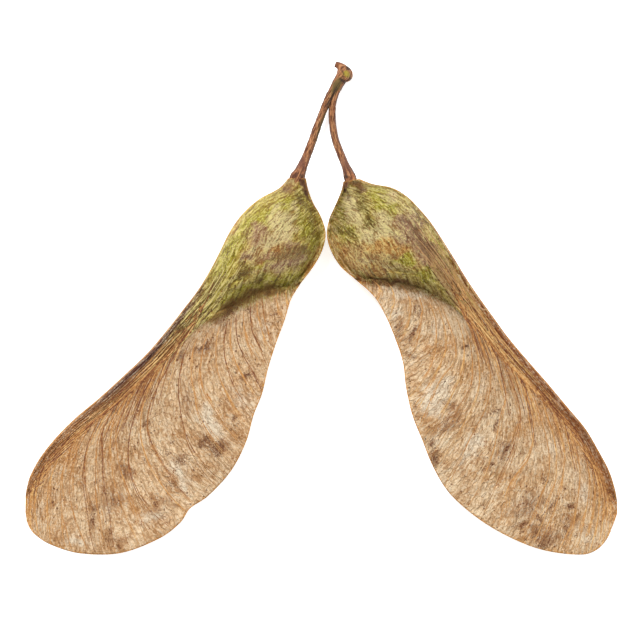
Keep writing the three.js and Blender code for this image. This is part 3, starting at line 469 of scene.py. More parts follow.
    # Umber: brown at the top and on the outer side of the nut, and painted shade along the crease
    # under it
    "umber": [
        (3.15, 11, 0.81, 0.36, 0, 0.8), (2.43, 11.36, 0.45, 0.36, 30, 0.6),
        (6.39, 2.18, 1.62, 0.36, -6, 0.7), (8.55, 1.73, 1.08, 0.27, -18, 0.4),
        (9.63, 5.06, 0.72, 1.53, 36, 0.75), (8.19, 6.86, 0.81, 0.54, -35, 0.5),
        (10.71, 2.9, 0.54, 1.26, 38, 0.5),
    ],
}

# Centre lines of the forked stalk, from the knob down, each point with its radius
STALK_LEFT = [
    (1.95, 21.1, 1.05, 0.5), (1.42, 20.3, 1.08, 0.42), (1.0, 19.55, 1.12, 0.36),
    (0.55, 18.65, 1.2, 0.34), (0, 17.25, 1.38, 0.34), (-0.77, 15.1, 1.75, 0.37),
    (-1.44, 13.3, 2.3, 0.41), (-1.87, 12.25, 2.72, 0.53), (-2.1, 11.75, 2.84, 0.68),
    (-2.3, 11.2, 2.84, 0.6), (-2.5, 10.6, 2.8, 0.3),
]
STALK_RIGHT = [
    (2.1, 21.0, 0.95, 0.45), (1.62, 20.1, 0.95, 0.38), (1.22, 19.15, 0.97, 0.32),
    (1.03, 18.2, 1.02, 0.31), (1.0, 17.15, 1.15, 0.31), (1.12, 16.0, 1.4, 0.31),
    (1.38, 14.85, 1.7, 0.32), (1.8, 13.75, 2.15, 0.34), (2.2, 12.75, 2.55, 0.38),
    (2.42, 12.2, 2.75, 0.47), (2.6, 11.7, 2.86, 0.56), (2.85, 11.15, 2.84, 0.46),
    (3.1, 10.65, 2.8, 0.3),
]
SPUR = [(2.0, 21.55, 0.9, 0.46), (1.6, 21.87, 1.0, 0.34), (1.28, 22.0, 1.02, 0.28)]
KNOB = (2.12, 21.12, 0.79)


def along(points, places):
    """The points at these places on a smooth curve, one unit from each point to the next."""
    points = np.array(points, float).reshape(len(points), -1)
    places = np.asarray(places, float)
    last = len(points) - 1
    first = np.clip(np.floor(places).astype(int), 0, last - 1)
    f = (places - first)[..., None]
    longer = np.vstack([2 * points[0] - points[1], points, 2 * points[-1] - points[-2]])
    a, b, c, d = (longer[first + i] for i in range(4))
    bend = 2 * a - 5 * b + 4 * c - d
    turn = 3 * b - a - 3 * c + d
    return 0.5 * (2 * b + (c - a) * f + bend * f**2 + turn * f**3)


def ease(start, end, v):
    x = np.clip((v - start) / (end - start), 0, 1)
    return x * x * (3 - 2 * x)


def blend(*parts):
    """Thicknesses that run into each other, as a rounded greatest."""
    return sum(np.asarray(p) ** 4 for p in parts) ** 0.25


def lumps(x, y, seed):
    """Smooth noise from -1 to 1 with about one lump for each unit of x and of y."""
    table = np.random.default_rng(seed).uniform(-1, 1, (256, 256))
    col, row = np.floor(x).astype(int), np.floor(y).astype(int)
    fx, fy = ease(0, 1, x - col), ease(0, 1, y - row)
    near, far = (
        table[(col + i) % 256, row % 256] * (1 - fy) + table[(col + i) % 256, (row + 1) % 256] * fy
        for i in (0, 1)
    )
    return near * (1 - fx) + far * fx


def nut_share(samara, at):
    """How far a place is from the heart of the nut, as a share of the way to its foot."""
    nut = samara["nut"]
    ring = nut[-2:] + nut + nut[:2]
    foot = along(ring, np.linspace(2, 2 + len(nut), 480, endpoint=False)) - samara["heart"]
    angle = np.arctan2(foot[:, 1], foot[:, 0])
    order = np.argsort(angle)
    away = at - np.array(samara["heart"])
    turned = np.arctan2(away[..., 1], away[..., 0])
    reach = np.hypot(foot[:, 0], foot[:, 1])
    return np.hypot(away[..., 0], away[..., 1]) / np.interp(
        turned, angle[order], reach[order], period=2 * math.pi
    )


def middle_height(samara, at):
    """Height of the wing's middle above the surface: level at the nut, falling to the tip."""
    heart, tip = np.array(samara["heart"]), np.array(samara["edge"][-1])
    span = math.dist(heart, tip)
    reach = np.maximum((at - heart) @ (tip - heart) / span, 0)
    fall = reach**2 / (reach + LEVEL_REACH) / (span * TIP_LIFT)
    return NUT_MIDDLE_Z + (TIP_MIDDLE_Z - NUT_MIDDLE_Z) * np.minimum(fall, 1)


def fold_height(samara, at):
    """Height of the folds on the nut and its neck."""
    height = np.zeros(at.shape[:-1])
    for rise, width, line in samara["folds"]:
        line = along(line, np.linspace(0, len(line) - 1, 4 * len(line)))
        near = np.full(at.shape[:-1], np.inf)
        for a, b in zip(line[:-1], line[1:]):
            share = np.clip((at - a) @ (b - a) / ((b - a) @ (b - a)), 0, 1)
            near = np.minimum(near, np.linalg.norm(at - a - share[..., None] * (b - a), axis=-1))
        height += rise * np.exp(-((near / width) ** 2))
    return height


def edge_strip(samara, places, inner, is_nut):
    """The nut and the thick leading edge: columns from the edge to the seam or the crease."""
    outer = along(samara["edge"], places)
    width = np.linalg.norm(outer - inner, axis=1)[:, None]
    place = places[:, None]
    w = np.linspace(0, 1, EDGE_ROWS)[None, :]
    even = ease(6.5, 9, place)
    share = (1 - even) * 0.5 * (1 - np.cos(math.pi * w)) + even * w
    at = outer[:, None] * (1 - share[..., None]) + inner[:, None] * share[..., None]
    band_rows = np.array(BAND)
    band_half = np.interp(place, band_rows[:, 0], band_rows[:, 1])
    band_width = np.minimum(width, np.interp(place, band_rows[:, 0], band_rows[:, 2]))
    swollen = nut_share(samara, at)
    foot_end = np.array(samara["foot_end"]) - samara["heart"]
    reach = math.hypot(*foot_end)
    outward = (at - samara["heart"]) @ foot_end / reach
    profile = NUT_SHOULDER + NUT_DRAWN_OUT * ease(0.5 * reach, reach, outward)
    swell = NUT_HALF_DEPTH * np.clip(1 - swollen**NUT_BELLY, 0, 1) ** profile
    band = band_half * np.sin(math.pi * np.clip(share * width / band_width, 0, 1) ** 0.6)
    neck = np.sqrt(np.clip(1 - (2 * share - 1) ** 2, 0, 1)) * (1 - ease(0.5, 2.6, place))
    to_seam = (1 - share) * width
    seam = SEAM_HALF * (1 - ease(0.5 * SEAM_WIDTH, SEAM_WIDTH, to_seam)) * is_nut[:, None]
    half = blend(MEMBRANE_HALF, swell, band, NECK_HALF * neck, seam)
    ribbed = ease(1.5, 5.5, place) * (1 - ease(0.5, 0.75, share) * (1 - even))
    fade = 1 - 0.6 * ease(11, 18, place)
    rib = 0.5 - 0.5 * np.cos(2 * math.pi * RIB_COUNT * w)
    lively = ease(0.03, 0.2, half) * ease(0, 0.25, share * width)
    fibre = lumps(share * 34, place * 1.3 + 9 * w, 3) * FIBRE_HEIGHT
    fibre = fibre + lumps(share * 70, place * 2.1, 4) * FINE_FIBRE_HEIGHT
    half = half + (RIB_HEIGHT * ribbed * fade * rib + fibre) * lively
    half = half + fold_height(samara, at) * lively
    half = half + NUT_LUMP * lumps(at[..., 0] * 0.9, at[..., 1] * 0.9, 5) * ease(1, 0.6, swollen)
    grain = np.stack([share * np.maximum(width, 2.5), place * 1.9 + 0 * share], axis=-1)
    return dict(
        at=at, half=np.maximum(half, RIM_HALF), middle=middle_height(samara, at), grain=grain,
        place=place + 0 * share, core=np.ones_like(share), swollen=swollen,
    )


def fibre_lines(samara, rows, u):
    """Points on the wing at these rows of its table and this far along, from 0 to 1."""
    start, bend, end = (along([r[i] for r in samara["wing"]], rows) for i in (1, 2, 3))
    u = u[..., None]
    return start * (1 - u) ** 2 + bend * 2 * u * (1 - u) + end * u * u


def wing_middle(samara, at, rows, u):
    """Height of the thin wing's middle, with its waves and puckers."""
    wave = MARGIN_WAVE * u * u * np.sin(1.15 * rows + 0.6)
    pucker = PUCKER * lumps(rows * 2.3, u * 5, 6)
    pucker = pucker + FINE_PUCKER * lumps(rows * 5.1, u * 11 + rows, 7)
    middle = middle_height(samara, at) + wave + pucker * ease(0, 0.2, u)
    return np.maximum(middle, MEMBRANE_HALF + 0.02)


def wing_strip(samara, rows):
    """The thin wing: columns from the crease or the thick edge to the margin."""
    u = np.linspace(0, 1, WING_ROWS)[None, :] + 0 * rows[:, None]
    across = rows[:, None] + 0 * u
    at = fibre_lines(samara, across, u)
    length = np.linalg.norm(np.diff(at, axis=1), axis=2).sum(1)[:, None]
    half = MEMBRANE_HALF + BUNDLE_HEIGHT * (1 - u) ** 8
    middle = wing_middle(samara, at, across, u)
    half_way = fibre_lines(samara, rows, 0 * rows + 0.5)
    sideways = np.append(0, np.cumsum(np.linalg.norm(np.diff(half_way, axis=0), axis=1)))
    grain = np.stack([sideways[:, None] + 0 * u, u * length], axis=-1)
    place = along([r[0] for r in samara["wing"]], rows) + 0 * u
    return dict(
        at=at, half=half, middle=middle, grain=grain, place=place,
        core=np.exp(-u * length / 0.9), swollen=nut_share(samara, at),
    )


def patch_masks(patches, at, warp):
    """How strongly each colour of patch lies on each point."""
    coarse, fine = (
        np.column_stack([lumps(at[:, 0] * k, at[:, 1] * k, seed) for seed in (14, 15)])
        for k in (1.3, 3.7)
    )
    at = at + warp * (coarse + 0.45 * fine)
    masks = {}
    for name in (key for key in patches if key in PATCHES):
        bare = np.ones(len(at))
        for x, y, wide, high, turn, strength in patches[name]:
            away = at - (x, y)
            c, s = math.cos(math.radians(turn)), math.sin(math.radians(turn))
            side = (away[:, 0] * c + away[:, 1] * s) / wide
            rise = (away[:, 1] * c - away[:, 0] * s) / high
            bare *= 1 - strength * np.exp(-(side**2 + rise**2))
        masks[name] = 1 - bare
    return masks


def placed(name, data):
    """An object of this name in the scene."""
    thing = bpy.data.objects.new(name, data)
    bpy.context.collection.objects.link(thing)
    return thing


def store(mesh, name, values, kind="FLOAT", field="value"):
    """A value, or a vector, for each point of the mesh."""
    mesh.attributes.new(name, kind, "POINT").data.foreach_set(field, np.ravel(values))


def grown(raw, name):
    """The mesh with the object's modifiers carried out; the object itself goes."""
    bpy.context.view_layer.update()
    mesh = bpy.data.meshes.new_from_object(raw.evaluated_get(bpy.context.evaluated_depsgraph_get()))
    mesh.name = name
    bpy.data.objects.remove(raw)
    return mesh


def squares(grid):
    """The four corners of each square of a grid."""
    corners = np.stack([grid[:-1, :-1], grid[1:, :-1], grid[1:, 1:], grid[:-1, 1:]], 2)
    return corners.reshape(-1, *corners.shape[2:])


def closed_skin(faces, grains, count):
    """The faces above, the same below, whose points come count later, and the sides between
    them, each with the grain at its corners; and the points of the rim."""
    edges = {}
    for f, g in zip(faces, grains):
        for i in range(len(f)):
            edges[f[i - 1], f[i]] = (g[i - 1], g[i])
    rim = {pair: g for pair, g in edges.items() if pair[::-1] not in edges}
    under = [[count + i for i in f[::-1]] for f in faces]
    sides = [[p, count + p, count + q, q] for p, q in rim]
    side_grains = [(start, start, end, end) for start, end in rim.values()]
    grains = grains + [g[::-1] for g in grains] + side_grains
    return faces + under + sides, grains, [p for p, q in rim]


def samara_mesh(name, samara):
    """One samara's closed skin: the same grid above and below, joined round the outline."""
    nut_end, edge_end = len(samara["seam"]) - 1, samara["wing"][0][0]
    nut_places = np.linspace(0, nut_end, NUT_COLUMNS)
    rows = np.linspace(0, len(samara["wing"]) - 1, WING_COLUMNS)[1:]
    wing_places, wing_starts = (along([r[i] for r in samara["wing"]], rows) for i in (0, 1))
    places = np.append(nut_places * edge_end / nut_end, wing_places)
    inner = np.vstack([along(samara["seam"], nut_places), wing_starts])
    is_nut = np.append(np.ones(NUT_COLUMNS), np.zeros(len(rows)))
    is_nut[NUT_COLUMNS - 1] = 0.5
    thick = edge_strip(samara, places, inner, is_nut)
    thin = wing_strip(samara, rows)

    # The thin strip shares its first row with the last row of the thick one
    columns, wings = len(places), len(rows)
    thick_ids = np.arange(columns * EDGE_ROWS).reshape(columns, EDGE_ROWS)
    thin_ids = np.empty((wings, WING_ROWS), int)
    thin_ids[:, 0] = thick_ids[NUT_COLUMNS:, -1]
    thin_ids[:, 1:] = thick_ids.size + np.arange(wings * (WING_ROWS - 1)).reshape(wings, -1)
    whole = {k: np.concatenate([
        thick[k].reshape(-1, *thick[k].shape[2:]), thin[k][:, 1:].reshape(-1, *thin[k].shape[2:])
    ]) for k in thick if k != "grain"}

    corner = thick_ids[NUT_COLUMNS - 1, -1]
    fan = np.stack([0 * thin_ids[0, 1:] + corner, thin_ids[0, :-1], thin_ids[0, 1:]], -1)
    fan_grain = np.stack([thin["grain"][0, :-1], thin["grain"][0, :-1], thin["grain"][0, 1:]], 1)
    faces = [*squares(thick_ids).tolist(), *squares(thin_ids).tolist(), *fan.tolist()]
    grains = [*squares(thick["grain"]), *squares(thin["grain"]), *fan_grain]

    at = whole["at"]
    a, b, c = (at[squares(thick_ids)[:, i]] for i in range(3))
    if np.cross(b - a, c - a).sum() < 0:
        faces = [f[::-1] for f in faces]
        grains = [g[::-1] for g in grains]
    faces, grains, rim = closed_skin(faces, grains, len(at))
    top = whole["middle"] + whole["half"]
    below = np.maximum(whole["middle"] - whole["half"], 0)
    points = np.vstack([np.column_stack([at, top]), np.column_stack([at, below])]) * MM
    mesh = bpy.data.meshes.new(name)
    mesh.from_pydata(points.tolist(), [], faces)
    flat = np.concatenate([np.asarray(g) for g in grains])
    mesh.uv_layers.new(name="Grain").data.foreach_set("uv", flat.ravel())

    outline = KDTree(len(rim))
    for i, point in enumerate(rim):
        outline.insert((*at[point], 0), i)
    outline.balance()
    values = patch_masks(samara, at, SAMARA_WARP)
    values["margin"] = np.array([outline.find((x, y, 0))[2] for x, y in at])
    values |= {key: whole[key] for key in ("swollen", "core", "place")}
    for key, value in values.items():
        store(mesh, key, np.tile(value, 2))
    mesh.shade_smooth()
    return placed(name, mesh)


def add(tree, kind, settings=None, inputs=None):
    """A node with its settings, its inputs set to values or joined to sockets."""
    node = tree.nodes.new(kind)
    for name, value in (settings or {}).items():
        setattr(node, name, value)
    for key, value in (inputs or {}).items():
        if isinstance(value, bpy.types.NodeSocket):
            tree.links.new(value, node.inputs[key])
        else:
            node.inputs[key].default_value = value
    return node


def named_inputs(tree, sockets, in_out="INPUT"):
    for name, kind, value in sockets:
        socket = tree.interface.new_socket(name, in_out=in_out, socket_type="NodeSocket" + kind)
        if value is not None:
            socket.default_value = value


# Veins
def vein_tube_tree():
    """Thin tubes along the vein lines, each point of a line with its own radius."""
    tree = bpy.data.node_groups.new("Vein tubes", "GeometryNodeTree")
    named_inputs(tree, [
        ("Lines", "Geometry", None), ("Thickness", "Float", 1.0), ("Sides", "Int", 6),
        ("Skin", "Material", None),
    ])
    named_inputs(tree, [("Tubes", "Geometry", None)], "OUTPUT")
    given = add(tree, "NodeGroupInput").outputs
    radius = add(tree, "GeometryNodeInputNamedAttribute", {"data_type": "FLOAT"}, {"Name": "radius_m"})
    curve = add(tree, "GeometryNodeMeshToCurve", None, {"Mesh": given["Lines"]})
    ring = add(tree, "GeometryNodeCurvePrimitiveCircle", None, {
        "Resolution": given["Sides"], "Radius": 1.0,
    })
    tube = add(tree, "GeometryNodeCurveToMesh", None, {
        "Curve": curve.outputs["Curve"], "Profile Curve": ring.outputs["Curve"], "Fill Caps": True,
        "Scale": times(tree, radius.outputs["Attribute"], given["Thickness"]),
    })
    smooth = add(tree, "GeometryNodeSetShadeSmooth", None, {"Geometry": tube.outputs["Mesh"]})
    skin = add(tree, "GeometryNodeSetMaterial", None, {
        "Geometry": smooth.outputs["Geometry"], "Material": given["Skin"],
    })
    add(tree, "NodeGroupOutput", None, {"Tubes": skin.outputs["Geometry"]})
    return tree


def beside_edge(samara, places, inward):
    """Points this far in from the leading edge."""
    at = along(samara["edge"], places)
    way = along(samara["edge"], places + 0.05) - along(samara["edge"], places - 0.05)
    side = np.column_stack([-way[:, 1], way[:, 0]]) / np.linalg.norm(way, axis=1)[:, None]
    middle_of_wing = samara["wing"][9][3]
    if side[0] @ (middle_of_wing - at[0]) < 0:
        side = -side
    return at + side * np.asarray(inward)[:, None]


def run_out(samara, row, back, inward, out, steps):
    """A strand that comes down the thick edge, then turns out along a row of the wing."""
    place = along([r[0] for r in samara["wing"]], [row])[0, 0]
    leave = fibre_lines(samara, np.full(4, row), np.array([0.05, 0.13, 0.25, 1.0]) * out)
    width = np.linalg.norm(along(samara["edge"], [place]) - leave[:1])
    middle = inward + 0.5 * (width - inward)
    before = beside_edge(samara, place - back * np.array([1, 0.45]), [inward, middle])
    line = np.vstack([before, leave])
    return along(line, np.linspace(0, len(line) - 1, steps))


def wing_veins(samara, chance):
    """The main veins, their forks, and the fine veins between them. Of each line: its points,
    its radius, how deep its middle lies, its tone, and its share of the neck's straw colour."""
    mains = []
    lines = []
    for dark, *rows in samara["veins"]:
        u = np.linspace(0.03, VEIN_END, 46)
        row = along(rows, u * 4)[:, 0] + 0.02 * lumps(u * 9, u * 0 + rows[0] * 7, 8)
        mains.append(row)
        at = fibre_lines(samara, row, u)
        radius = (VEIN_RADIUS - VEIN_TAPER * u) * (0.68 + 0.32 * ease(0, 0.3, u))
        if rows[0] > samara["first_free_row"]:
            back, inward = chance.uniform(0.9, 1.7), chance.uniform(0.7, 1.2)
            start = run_out(samara, row[7], back, inward, 0.3, 26)[:18]
            at = np.vstack([start, at[9:]])
            radius = np.append(EDGE_VEIN_RADIUS + 0 * start[:, 0], radius[9:])
        lines.append((at, radius, VEIN_DEPTH, dark, 0))
        for _ in range(chance.integers(3, 7)):
            leave = chance.uniform(0.2, 0.85)
            end = min(VEIN_END, leave + chance.uniform(0.25, 0.6))
            fork = np.linspace(leave, end, 16)
            aside = chance.choice((-1, 1)) * chance.uniform(0.12, 0.4) * (fork - leave) ** 0.8
            at = fibre_lines(samara, np.interp(fork, u, row) + aside, fork)
            lines.append((at, FORK_RADIUS - 0.01 * (fork - leave), VEIN_DEPTH, dark * 0.8, 0))
    for one, two in zip(mains[:-1], mains[1:]):
        for share in np.linspace(0, 1, 2 + chance.integers(1, 5))[1:-1]:
            leave = chance.uniform(0.2, 0.7)
            fine = np.linspace(leave, VEIN_END, 22)
            sway = 0.06 * lumps(fine * 5, fine * 0 + 13 * share + one[0], 9)
            row = np.interp(fine, u, one) * (1 - share) + np.interp(fine, u, two) * share + sway
            at = fibre_lines(samara, np.clip(row, 0.1, len(samara["wing"]) - 1.05), fine)
            radius = FINE_VEIN_RADIUS - 0.008 * ease(0.15, 0, fine - leave)
            lines.append((at, radius, VEIN_DEPTH, chance.uniform(0.15, 0.75), 0))
    return lines


def edge_strands(samara, chance):
    """Strands that fan out from the thick edge into the wing, and those of the neck, which
    run on down the edge. Of each line: the same as for the veins."""
    lines = []
    for _ in range(FAN_STRANDS):
        row = chance.uniform(samara["first_free_row"], len(samara["wing"]) - 1.6)
        back, inward, out = (chance.uniform(*r) for r in ((0.8, 2.6), (0.7, 1.6), (0.12, 0.45)))
        at = run_out(samara, row, back, inward, out, 30)
        radius = chance.uniform(0.045, 0.07) * np.sin(math.pi * np.linspace(0.12, 0.95, 30)) ** 0.3
        tone = chance.choice((0.15, 0.35, 0.55, 0.75, 0.95))
        lines.append((at, radius, STRAND_SINK * radius, tone, 0))
    for _ in range(NECK_STRANDS):
        places = np.linspace(chance.uniform(4.8, 7), chance.uniform(8.5, 14), 40)
        start = chance.uniform(0.6, 2.4)
        inward = np.linspace(start, 0.3 + 0.4 * start, 40)
        inward = inward + 0.04 * lumps(places * 1.7, places * 0 + inward[0] * 9, 16)
        radius = chance.uniform(0.04, 0.065) * np.sin(math.pi * np.linspace(0.08, 0.92, 40)) ** 0.3
        at = beside_edge(samara, places, inward)
        tone = chance.choice((0, 0.2, 0.6, 0.85))
        lines.append((at, radius, STRAND_SINK * radius, tone, ease(10.5, 8, places)))
    return lines


def vein_mesh(name, samara, wing, seed, tree, finish):
    """All the veins and strands of one wing, sunk in its skin, as one piece."""
    points, edges = [], []
    values = {"radius_m": [], "tone": [], "straw": []}
    surface = BVHTree.FromPolygons(
        [v.co for v in wing.vertices], [p.vertices for p in wing.polygons]
    )
    chance = np.random.default_rng(seed)
    for at, radius, depth, dark, straw in wing_veins(samara, chance) + edge_strands(samara, chance):
        first = len(points)
        for (x, y), size, under in zip(at, radius, depth + 0 * radius):
            hit = surface.ray_cast(Vector((x * MM, y * MM, 10 * MM)), Vector((0, 0, -1)))[0]
            height = hit.z / MM - under if hit else 2 * MEMBRANE_HALF
            points.append((x, y, max(height, size)))
        for key, value in zip(values, (radius * MM, dark, straw)):
            values[key] += (value + 0 * radius).tolist()
        edges += [(i, i + 1) for i in range(first, first + len(radius) - 1)]
    lines = bpy.data.meshes.new(name + "_lines")
    lines.from_pydata((np.array(points) * MM).tolist(), edges, [])
    for key, value in values.items():
        store(lines, key, value)
    raw = placed(name + "_raw", lines)
    grow = raw.modifiers.new("Veins", "NODES")
    grow.node_group = tree
    for item in tree.interface.items_tree:
        if item.name == "Skin":
            grow[item.identifier] = finish
    return placed(name, grown(raw, name))


# The stalk
def limb(skin, points, sides=28, steps=150):
    """A round limb along a centre line, closed at both ends."""
    rings = along(points, np.linspace(0, len(points) - 1, steps))
    ways = np.gradient(rings[:, :3], axis=0)
    loops = []
    turns = np.linspace(0, 2 * math.pi, sides, endpoint=False)[:, None]
    for ring, way in zip(rings, ways):
        side = np.cross(way, (0, 0, 1))
        side /= np.linalg.norm(side)
        top = np.cross(side, way / np.linalg.norm(way))
        circle = ring[:3] + ring[3] * (np.cos(turns) * side + np.sin(turns) * top)
        loops.append([skin.verts.new(at) for at in circle])
    for one, two in zip(loops[:-1], loops[1:]):
        for i in range(sides):
            skin.faces.new((one[i - 1], one[i], two[i], two[i - 1]))
    skin.faces.new(loops[0])
    skin.faces.new(loops[-1][::-1])


def stalk_mesh(name):
    """Both strands, the knob and its spur, grown together into one lumpy skin."""
    skin = bmesh.new()
    for points in (STALK_LEFT, STALK_RIGHT):
        limb(skin, points)
    limb(skin, SPUR, 20, 24)
    knob = bmesh.ops.create_icosphere(skin, subdivisions=4, radius=KNOB_RADIUS)["verts"]
    for v in knob:
        v.co += Vector(KNOB)
    bmesh.ops.recalc_face_normals(skin, faces=skin.faces)
    limbs = bpy.data.meshes.new(name + "_limbs")
    skin.to_mesh(limbs)
    skin.free()
    raw = placed(name + "_raw", limbs)
    grow = raw.modifiers.new("Grow together", "REMESH")
    grow.mode = "VOXEL"
    grow.voxel_size = STALK_GRAIN
    soften = raw.modifiers.new("Soften", "SMOOTH")
    soften.iterations = 3
    mesh = grown(raw, name)

    count = len(mesh.vertices)
    at, out = np.empty((count, 3)), np.empty((count, 3))
    mesh.vertices.foreach_get("co", at.ravel())
    mesh.vertices.foreach_get("normal", out.ravel())
    best = np.full(count, np.inf)
    fibre = np.zeros((count, 3))
    flank_shading = np.zeros(count)
    for strand, points in enumerate((STALK_LEFT, STALK_RIGHT)):
        line = along(points, np.linspace(0, len(points) - 1, 220))[:, :3]
        away = np.linalg.norm(at[:, None] - line[None], axis=2)
        near = away.argmin(1)
        span = np.append(0, np.cumsum(np.linalg.norm(np.diff(line, axis=0), axis=1)))
        way = np.gradient(line, axis=0)[near]
        side = np.cross(way, (0, 0, 1))
        side /= np.linalg.norm(side, axis=1)[:, None]
        off = at - line[near]
        turn = np.arctan2(off[:, 2], (off * side).sum(1))
        closer = away.min(1) < best
        best = np.minimum(best, away.min(1))
        flank_shading[closer] = np.abs((off * side).sum(1) / np.linalg.norm(off, axis=1))[closer]
        fibre[closer] = np.column_stack([turn * 0.4 + 5 * strand, span[near], 0 * turn])[closer]
    rough = STALK_RIDGE * lumps(fibre[:, 0] * 9, fibre[:, 1] * 0.9, 11)
    rough += STALK_LUMP * lumps(fibre[:, 0] * 5 + 3, fibre[:, 1] * 4, 12)
    near_knob = ease(1.1, 0.5, np.linalg.norm(at - KNOB, axis=1))
    rough += near_knob * KNOB_LUMP * lumps(at[:, 0] * 3.1 + at[:, 2] * 2, at[:, 1] * 3.1, 13)
    at = at + out * rough[:, None]
    at[:, 2] = np.maximum(at[:, 2], 0.01)
    mesh.vertices.foreach_set("co", (at * MM).ravel())
    store(mesh, "fibre", fibre, "FLOAT_VECTOR", "vector")
    # How far round to the side of its strand each point lies, which paints the stalk lighter along its
    # top and darker down its sides as painted highlight and painted shade; the knob gets a little of
    # it
    store(mesh, "flank_shading", np.maximum(flank_shading * (1 - near_knob), near_knob * 0.3))
    for key, value in patch_masks(STALK_PATCHES, at[:, :2], STALK_WARP).items():
        store(mesh, key, value)
    mesh.shade_smooth()
    return placed(name, mesh)


# Finishes
def tint(red, green, blue):
    """A colour as it looks in even light, from 0 to 255, as the surface's own colour."""
    linear = []
    for value in (red, green, blue):
        v = value / 255
        linear.append((v / 12.92 if v < 0.04 else ((v + 0.055) / 1.055) ** 2.4) * ALBEDO)
    return (*linear, 1)


def maths(tree, operation, *values):
    return add(tree, "ShaderNodeMath", {"operation": operation}, dict(enumerate(values))).outputs[0]


def times(tree, product, *values):
    """All the values multiplied."""
    for value in values:
        product = maths(tree, "MULTIPLY", product, value)
    return product


def heap(tree, total, *weighed):
    """The total with each value, times its weight, added to it."""
    for value, weight in weighed:
        total = maths(tree, "MULTIPLY_ADD", value, weight, total)
    return total


def between(tree, value, low, high, start=0.0, end=1.0):
    """The value's smooth way from low to high, as start to end."""
    return add(tree, "ShaderNodeMapRange", {"interpolation_type": "SMOOTHSTEP"}, {
        0: value, 1: low, 2: high, 3: start, 4: end,
    }).outputs[0]


def either(tree, share, low, high):
    """The value low, or high where the share is 1."""
    return add(tree, "ShaderNodeMix", None, {0: share, 2: low, 3: high}).outputs[0]


def paint(tree, share, under, over, mode="MIX"):
    """The colour over laid on the colour under."""
    return add(tree, "ShaderNodeMix", {"data_type": "RGBA", "blend_type": mode}, {
        0: share, 6: under, 7: over,
    }).outputs[2]


def two_tone(tree, share, under, over):
    return paint(tree, share, tint(*under), tint(*over))


def layers(tree, colour, rows):
    """Colours laid one after the other over the first, each with its share."""
    for share, over in rows:
        colour = paint(tree, share, colour, tint(*over))
    return colour


def stretch(tree, vector, scales):
    return add(tree, "ShaderNodeVectorMath", {"operation": "MULTIPLY"}, {
        0: vector, 1: scales,
    }).outputs[0]


def noise(tree, vector, scale=1.0, detail=3.0, roughness=0.55):
    return add(tree, "ShaderNodeTexNoise", None, {
        "Vector": vector, "Scale": scale, "Detail": detail, "Roughness": roughness,
    }).outputs["Fac"]


def warped(tree, vector, scale, by, carried):
    """The vector carried, pushed about by smooth noise."""
    sway = add(tree, "ShaderNodeTexNoise", None, {"Vector": vector, "Scale": scale, "Detail": 2.0})
    return add(tree, "ShaderNodeVectorMath", {"operation": "MULTIPLY_ADD"}, {
        0: sway.outputs["Color"], 1: by, 2: carried,
    }).outputs[0]


def attribute(tree, name, output="Fac"):
    return add(tree, "ShaderNodeAttribute", {"attribute_name": name}).outputs[output]


def shader_group(name, inputs, output, build):
    """A node group for an effect that several materials use."""
    tree = bpy.data.node_groups.new(name, "ShaderNodeTree")
    named_inputs(tree, [("Place", "Vector", None), *((i, "Float", value) for i, value in inputs)])
    named_inputs(tree, [(output, "Float", None)], "OUTPUT")
    made = build(tree, add(tree, "NodeGroupInput").outputs)
    add(tree, "NodeGroupOutput", None, {output: made})
    return tree


def along_grain(tree, given):
    """The place scaled across and along the grain."""
    scales = add(tree, "ShaderNodeCombineXYZ", None, {
        0: given["Across per mm"], 1: given["Along per mm"], 2: 1.0,
    })
    return stretch(tree, given["Place"], scales.outputs[0])


def build_streaks(tree, given):
    """Fine fibres: noise drawn out along the grain."""
    return between(tree, noise(tree, along_grain(tree, given), 1.0, 4.0, 0.6), 0.3, 0.7)


def build_specks(tree, given):
    """Tiny dark grains: some cells of a pattern, each with its own size."""
    cell = add(tree, "ShaderNodeTexVoronoi", None, {
        "Vector": given["Place"], "Scale": given["Per mm"],
    })
    luck = add(tree, "ShaderNodeSeparateColor", None, {0: cell.outputs["Color"]}).outputs[0]
    size = between(tree, luck, maths(tree, "SUBTRACT", 1.0, given["Share"]), 1.0, 0.0, 0.42)
    inside = maths(tree, "SUBTRACT", size, cell.outputs["Distance"])
    return between(tree, inside, 0.0, 0.12)


def build_net(tree, given):
    """The net of tiny veins: edges of cells drawn out along the grain."""
    place = along_grain(tree, given)
    cell = add(tree, "ShaderNodeTexVoronoi", {"feature": "DISTANCE_TO_EDGE"}, {
        "Vector": warped(tree, place, 0.7, (0.9, 0.9, 0.9), place), "Scale": 1.0,
    })
    return between(tree, cell.outputs["Distance"], 0.0, 0.16, 1.0, 0.0)


def build_ragged(tree, given):
    """A soft patch broken up into grains, so that its edge is ragged."""
    grain = noise(tree, given["Place"], 1.0, 4.0, 0.7)
    lifted = heap(tree, given["Mask"], (grain, given["Ragged"]))
    low = maths(tree, "MULTIPLY_ADD", given["Ragged"], 0.5, 0.08)
    return between(tree, lifted, low, maths(tree, "ADD", low, 0.6))


ON_GRAIN = (("Across per mm", 5.0), ("Along per mm", 0.5))
STREAKS = shader_group("Fibre streaks", ON_GRAIN, "Streak", build_streaks)
NET = shader_group("Vein net", ON_GRAIN, "Net", build_net)
SPECKS = shader_group("Fine specks", (("Per mm", 3.0), ("Share", 0.2)), "Speck", build_specks)
RAGGED = shader_group("Ragged patch", (("Mask", 0.0), ("Ragged", 1.0)), "Patch", build_ragged)


def effect(tree, group, **inputs):
    """One of the groups placed in a material, with its own values."""
    names = {i.lower().replace(" ", "_"): i for i in (s.name for s in group.interface.items_tree)}
    node = add(tree, "ShaderNodeGroup", {"node_tree": group}, {
        names[key]: value for key, value in inputs.items()
    })
    return node.outputs[0]


